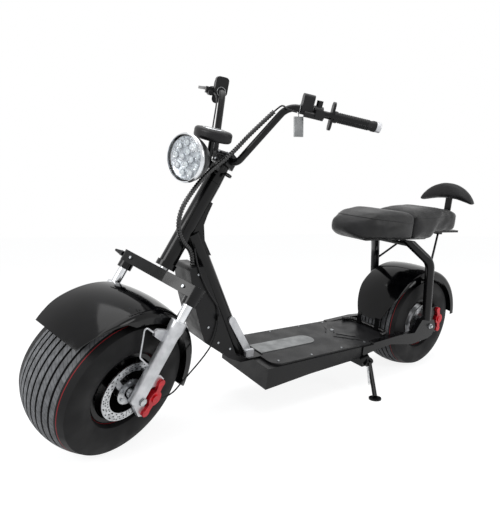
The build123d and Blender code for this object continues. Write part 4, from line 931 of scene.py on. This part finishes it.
def apply_modifier(thing, kind, **settings):
    """Adds a modifier with its settings and applies it at once."""
    bpy.context.view_layer.objects.active = thing
    modifier = thing.modifiers.new(kind.lower(), kind)
    for name, value in settings.items():
        setattr(modifier, name, value)
    bpy.ops.object.modifier_apply(modifier=modifier.name)


def swell(pad):
    """Blows the pad up like a bag, each point by no more than the cap."""
    before = [vertex.co.copy() for vertex in pad.data.vertices]
    bpy.context.view_layer.objects.active = pad
    cloth = pad.modifiers.new("swell", "CLOTH")
    cloth.settings.use_pressure = True
    cloth.settings.uniform_pressure_force = SWELL_PRESSURE
    cloth.settings.tension_stiffness = SWELL_TENSION
    cloth.settings.effector_weights.gravity = 0
    for step in range(1, SWELL_FRAMES + 1):
        bpy.context.scene.frame_set(step)
    bpy.ops.object.modifier_apply(modifier="swell")
    bpy.context.scene.frame_set(1)
    for vertex, start in zip(pad.data.vertices, before):
        moved = vertex.co - start
        if moved.length > SWELL_CAP:
            vertex.co = start + moved.normalized() * SWELL_CAP


print("swelling capped at", SWELL_CAP, "metres")

# %% [markdown]
# Each cushion starts as a copy of its solid, shrunk a little. A voxel remesh gives it even faces
# and smoothing rounds its edges. Then it swells, is smoothed once more, because the swelling
# leaves small crumples, and gets one subdivision.

# %% Cushions
SHRINK = 1 * MM
VOXEL = 6 * MM
SADDLE_ROUNDING = 10
BACKREST_ROUNDING = 4
SMOOTHING_AFTER = 30
MERGE_CAD = 1e-5


def cushion(name, rounding):
    """A swollen, softened copy of a solid, kept within its room."""
    mesh = nodes[name].data.copy()
    bm = bmesh.new()
    bm.from_mesh(mesh)
    bmesh.ops.remove_doubles(bm, verts=bm.verts, dist=MERGE_CAD)
    bmesh.ops.recalc_face_normals(bm, faces=bm.faces)
    low, high = (Vector(corner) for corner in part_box(name))
    middle = (low + high) / 2
    bmesh.ops.translate(bm, vec=-middle, verts=bm.verts)
    bmesh.ops.scale(bm, vec=[1 - 2 * SHRINK / side for side in high - low], verts=bm.verts)
    bmesh.ops.translate(bm, vec=middle, verts=bm.verts)
    bm.to_mesh(mesh)
    bm.free()
    pad = add_object(name + "_padded", mesh, None, vinyl)
    apply_modifier(pad, "REMESH", mode="VOXEL", voxel_size=VOXEL)
    apply_modifier(pad, "SMOOTH", iterations=rounding, factor=0.5)
    swell(pad)
    apply_modifier(pad, "SMOOTH", iterations=SMOOTHING_AFTER, factor=0.5)
    apply_modifier(pad, "SUBSURF", levels=1, render_levels=1)
    pad.data.shade_smooth()
    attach(pad, "frame")
    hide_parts(name)
    print(pad.name, "faces", len(pad.data.polygons))
    return pad


seat_front = cushion("seat_front", SADDLE_ROUNDING)
seat_rear = cushion("seat_rear", SADDLE_ROUNDING)
cushion("backrest", BACKREST_ROUNDING)

# %% [markdown]
# Vinyl is sewn with piping round the saddle, where its top and side panels meet. The line is
# found by slicing the swollen mesh with a nearly level plane and is given a round section.

# %% Piping
PIPING_R = 1.8


def piping(pad, name, at, normal):
    """A thin cord of vinyl where a plane of the scooter's own frame slices a cushion."""
    bm = bmesh.new()
    bm.from_mesh(pad.data)
    bmesh.ops.bisect_plane(
        bm, geom=bm.verts[:] + bm.edges[:] + bm.faces[:], plane_co=BIKE @ (Vector(at) * MM),
        plane_no=BIKE.to_3x3() @ Vector(normal), clear_inner=True, clear_outer=True,
    )
    mesh = bpy.data.meshes.new(name)
    bm.to_mesh(mesh)
    bm.free()
    rope = bpy.data.objects.new(name, mesh)
    bpy.context.collection.objects.link(rope)
    bpy.ops.object.select_all(action="DESELECT")
    rope.select_set(True)
    bpy.context.view_layer.objects.active = rope
    bpy.ops.object.convert(target="CURVE")
    rope.data.bevel_depth = PIPING_R * MM
    rope.data.bevel_resolution = 2
    made = bpy.data.meshes.new_from_object(rope)
    bpy.data.objects.remove(rope)
    made.shade_smooth()
    add_object(name, made, "frame", vinyl)
    print(name, "faces", len(made.polygons))


piping(seat_front, "front_piping", (300, 0, 706), (-0.06, 0, 1))
piping(seat_rear, "rear_piping", (0, 0, 726), (0.03, 0, 1))

# %% [markdown]
# The deck cover is a moulded lid. Raised ribs point ahead in chevrons so that shoes grip, screws
# hold it down along both edges, and a round lock sits to the right of the middle.

# %% Deck ribs, screws and lock
COVER_TOP = 204
RIBS = (((465, 6), (411, 69)), ((498, 24), (416, 105)), ((470, 49), (443, 89)))
RIB_WIDE = 5
RIB_HIGH = 3
PROUD = 0.6
UP = (0, 0, 1)
DECK_SCREWS = ((420, 126), (560, 130), (720, 130), (870, 120))
LOCK_AT = (450, -35, COVER_TOP + 1)
LOCK_R = 9
ribs = bmesh.new()
for (x_from, y_from), (x_to, y_to) in RIBS:
    for side in (1, -1):
        run = Vector((x_from - x_to, side * (y_from - y_to), 0))
        middle = ((x_from + x_to) / 2, side * (y_from + y_to) / 2, COVER_TOP + PROUD)
        turn = run.to_2d().angle_signed(Vector((1, 0))) * 180 / pi
        block(ribs, middle, (run.length, RIB_WIDE, RIB_HIGH), turn)
add_piece("deck_ribs", ribs, "frame", matt_abs, BIKE)
fixings = bmesh.new()
for x, y in DECK_SCREWS:
    for side in (1, -1):
        peg(fixings, (x, side * y, COVER_TOP + PROUD), UP, SCREW_R, 3, 14)
peg(fixings, LOCK_AT, UP, LOCK_R, 5, 24)
add_piece("deck_fixings", fixings, "frame", zinc, BIKE)
print("deck screws", 2 * len(DECK_SCREWS))


# %% [markdown]
# Bolts hold what the eye expects them to hold: the fork's clamp, the bar's yoke and the box.
# They are hexagon heads, small prisms set half into the part that they clamp.

# %% Bolts
def bolts(name, body, place, spots, direction, radius, long):
    """Hexagon heads at points of a frame."""
    bm = bmesh.new()
    for at in spots:
        peg(bm, at, direction, radius, long)
    add_piece(name, bm, body, zinc, place)
    print(name, len(spots))


YOKE_Z = 752
AHEAD = (1, 0, 0)
CLAMP_BOLTS = [(27, side * 118, 337) for side in (1, -1)]
YOKE_BOLTS = [(23, side * 16, YOKE_Z + up) for side in (1, -1) for up in (-14, 14)]
BOX_SCREWS = [(1178, 58, 525), (1130, 58, 345), (1088, 58, 285), (1040, 58, 255)]
bolts("clamp_bolts", "fork", FORK, CLAMP_BOLTS, AHEAD, 5.5, 7)
bolts("yoke_bolts", "fork", FORK, YOKE_BOLTS, AHEAD, SCREW_R, 8)
bolts("box_screws", "frame", BIKE, BOX_SCREWS, AXLE_DIR, SCREW_R, 4)

# %% [markdown]
# A coil spring pulls the side stand up or down. Its wire is a helix beside the stand's leg,
# drawn as a line of points and given a round section.

# %% Stand spring
STAND_PIVOT = Vector((425, 168, 136))
STAND_FOOT = Vector((497, 275, 0))
SPRING_FROM, SPRING_TO = 22, 92
SPRING_ASIDE = Vector((16, 4, 4))
COILS = 14
COIL_R = 5
COIL_STEPS = 12
WIRE_R = 1.1
leg_dir = (STAND_FOOT - STAND_PIVOT).normalized()
spring_place = facing(STAND_PIVOT + leg_dir * SPRING_FROM + SPRING_ASIDE, leg_dir)
spring_long = SPRING_TO - SPRING_FROM
helix = []
for step in range(COIL_STEPS * COILS + 1):
    spot = Vector(round_axle(COIL_R, step / COIL_STEPS, spring_long * step / (COIL_STEPS * COILS)))
    helix.append(BIKE @ (spring_place @ spot * MM))
spring = tube_mesh("stand_spring", helix, [WIRE_R] * len(helix), 2)
add_object("stand_spring", spring, "stand", zinc)
print("coils", COILS)

# %% [markdown]
# The background is paper white to the camera, to mirrors and through glass, but sends little
# light to the object. A light path node tells these rays from the light that bounces. The floor
# is matt and takes the scooter's shadow, and its glow is seen by those rays only.

# %% Floor and world
FLOOR_GLOW = 0.86
FLOOR_HALF = 30
WORLD_LIGHT = 0.4


def seen_directly(tree):
    """1 for rays of the camera, of mirrors and through glass, 0 for the light that bounces."""
    path = add_node(tree, "ShaderNodeLightPath")
    mirrored = add_node(tree, MATH, {
        0: path.outputs["Is Camera Ray"], 1: path.outputs["Is Glossy Ray"],
    }, operation="MAXIMUM")
    return add_node(tree, MATH, {0: mirrored, 1: path.outputs["Is Transmission Ray"]}, operation="MAXIMUM")


def studio_floor():
    """A wide matt floor, kept out of the object."""
    bm = bmesh.new()
    bmesh.ops.create_grid(bm, x_segments=1, y_segments=1, size=FLOOR_HALF)
    mesh = bpy.data.meshes.new("studio_floor")
    bm.to_mesh(mesh)
    bm.free()
    material = bpy.data.materials.new("paper_floor")
    tree = empty_tree(material)
    matt = add_node(tree, "ShaderNodeBsdfDiffuse", {"Color": linear("#9a9b9c")})
    glow = add_node(tree, "ShaderNodeEmission", {"Color": linear("#ffffff"), "Strength": FLOOR_GLOW})
    dark = add_node(tree, "ShaderNodeEmission", {"Strength": 0.0})
    only_seen = add_node(tree, "ShaderNodeMixShader", {"Fac": seen_directly(tree), 1: dark, 2: glow})
    both = add_node(tree, "ShaderNodeAddShader", {0: matt, 1: only_seen})
    add_node(tree, "ShaderNodeOutputMaterial", {"Surface": both})
    mesh.materials.append(material)
    floor = bpy.data.objects.new("studio_floor", mesh)
    bpy.context.collection.objects.link(floor)


def studio_world():
    """Pale light all round, white where it is seen directly."""
    world = bpy.data.worlds.new("pale_studio")
    bpy.context.scene.world = world
    tree = empty_tree(world)
    plain = add_node(tree, "ShaderNodeBackground", {"Color": linear("#ffffff"), "Strength": WORLD_LIGHT})
    white = add_node(tree, "ShaderNodeBackground", {"Color": linear("#ffffff"), "Strength": 1.0})
    mixed = add_node(tree, "ShaderNodeMixShader", {"Fac": seen_directly(tree), 1: plain, 2: white})
    add_node(tree, "ShaderNodeOutputWorld", {"Surface": mixed})


studio_floor()
studio_world()
print("floor glow", FLOOR_GLOW, "world light", WORLD_LIGHT)

# %% [markdown]
# The light is a plain studio: a big soft lamp above, one ahead of the scooter and one at the
# rider's left. Each row gives a lamp's place, the point it faces, its size in metres and its
# power in watts.

# %% Lamps
LAMPS = (
    ("overhead", (0.2, 0.3, 3.2), (0, 0, 0.4), 2.6, 45),
    ("camera_left", (3.2, 0.2, 1.9), (0.2, 0, 0.5), 1.4, 40),
    ("rider_side", (-1.6, 3.0, 1.8), (-0.3, 0, 0.5), 1.4, 26),
)
for name, at, aim, size, watts in LAMPS:
    data = bpy.data.lights.new(name, "AREA")
    data.size = size
    data.energy = watts
    lamp = bpy.data.objects.new(name, data)
    lamp.location = at
    lamp.rotation_euler = (Vector(aim) - Vector(at)).to_track_quat("-Z", "Y").to_euler()
    bpy.context.collection.objects.link(lamp)
print("lamps", len(LAMPS))
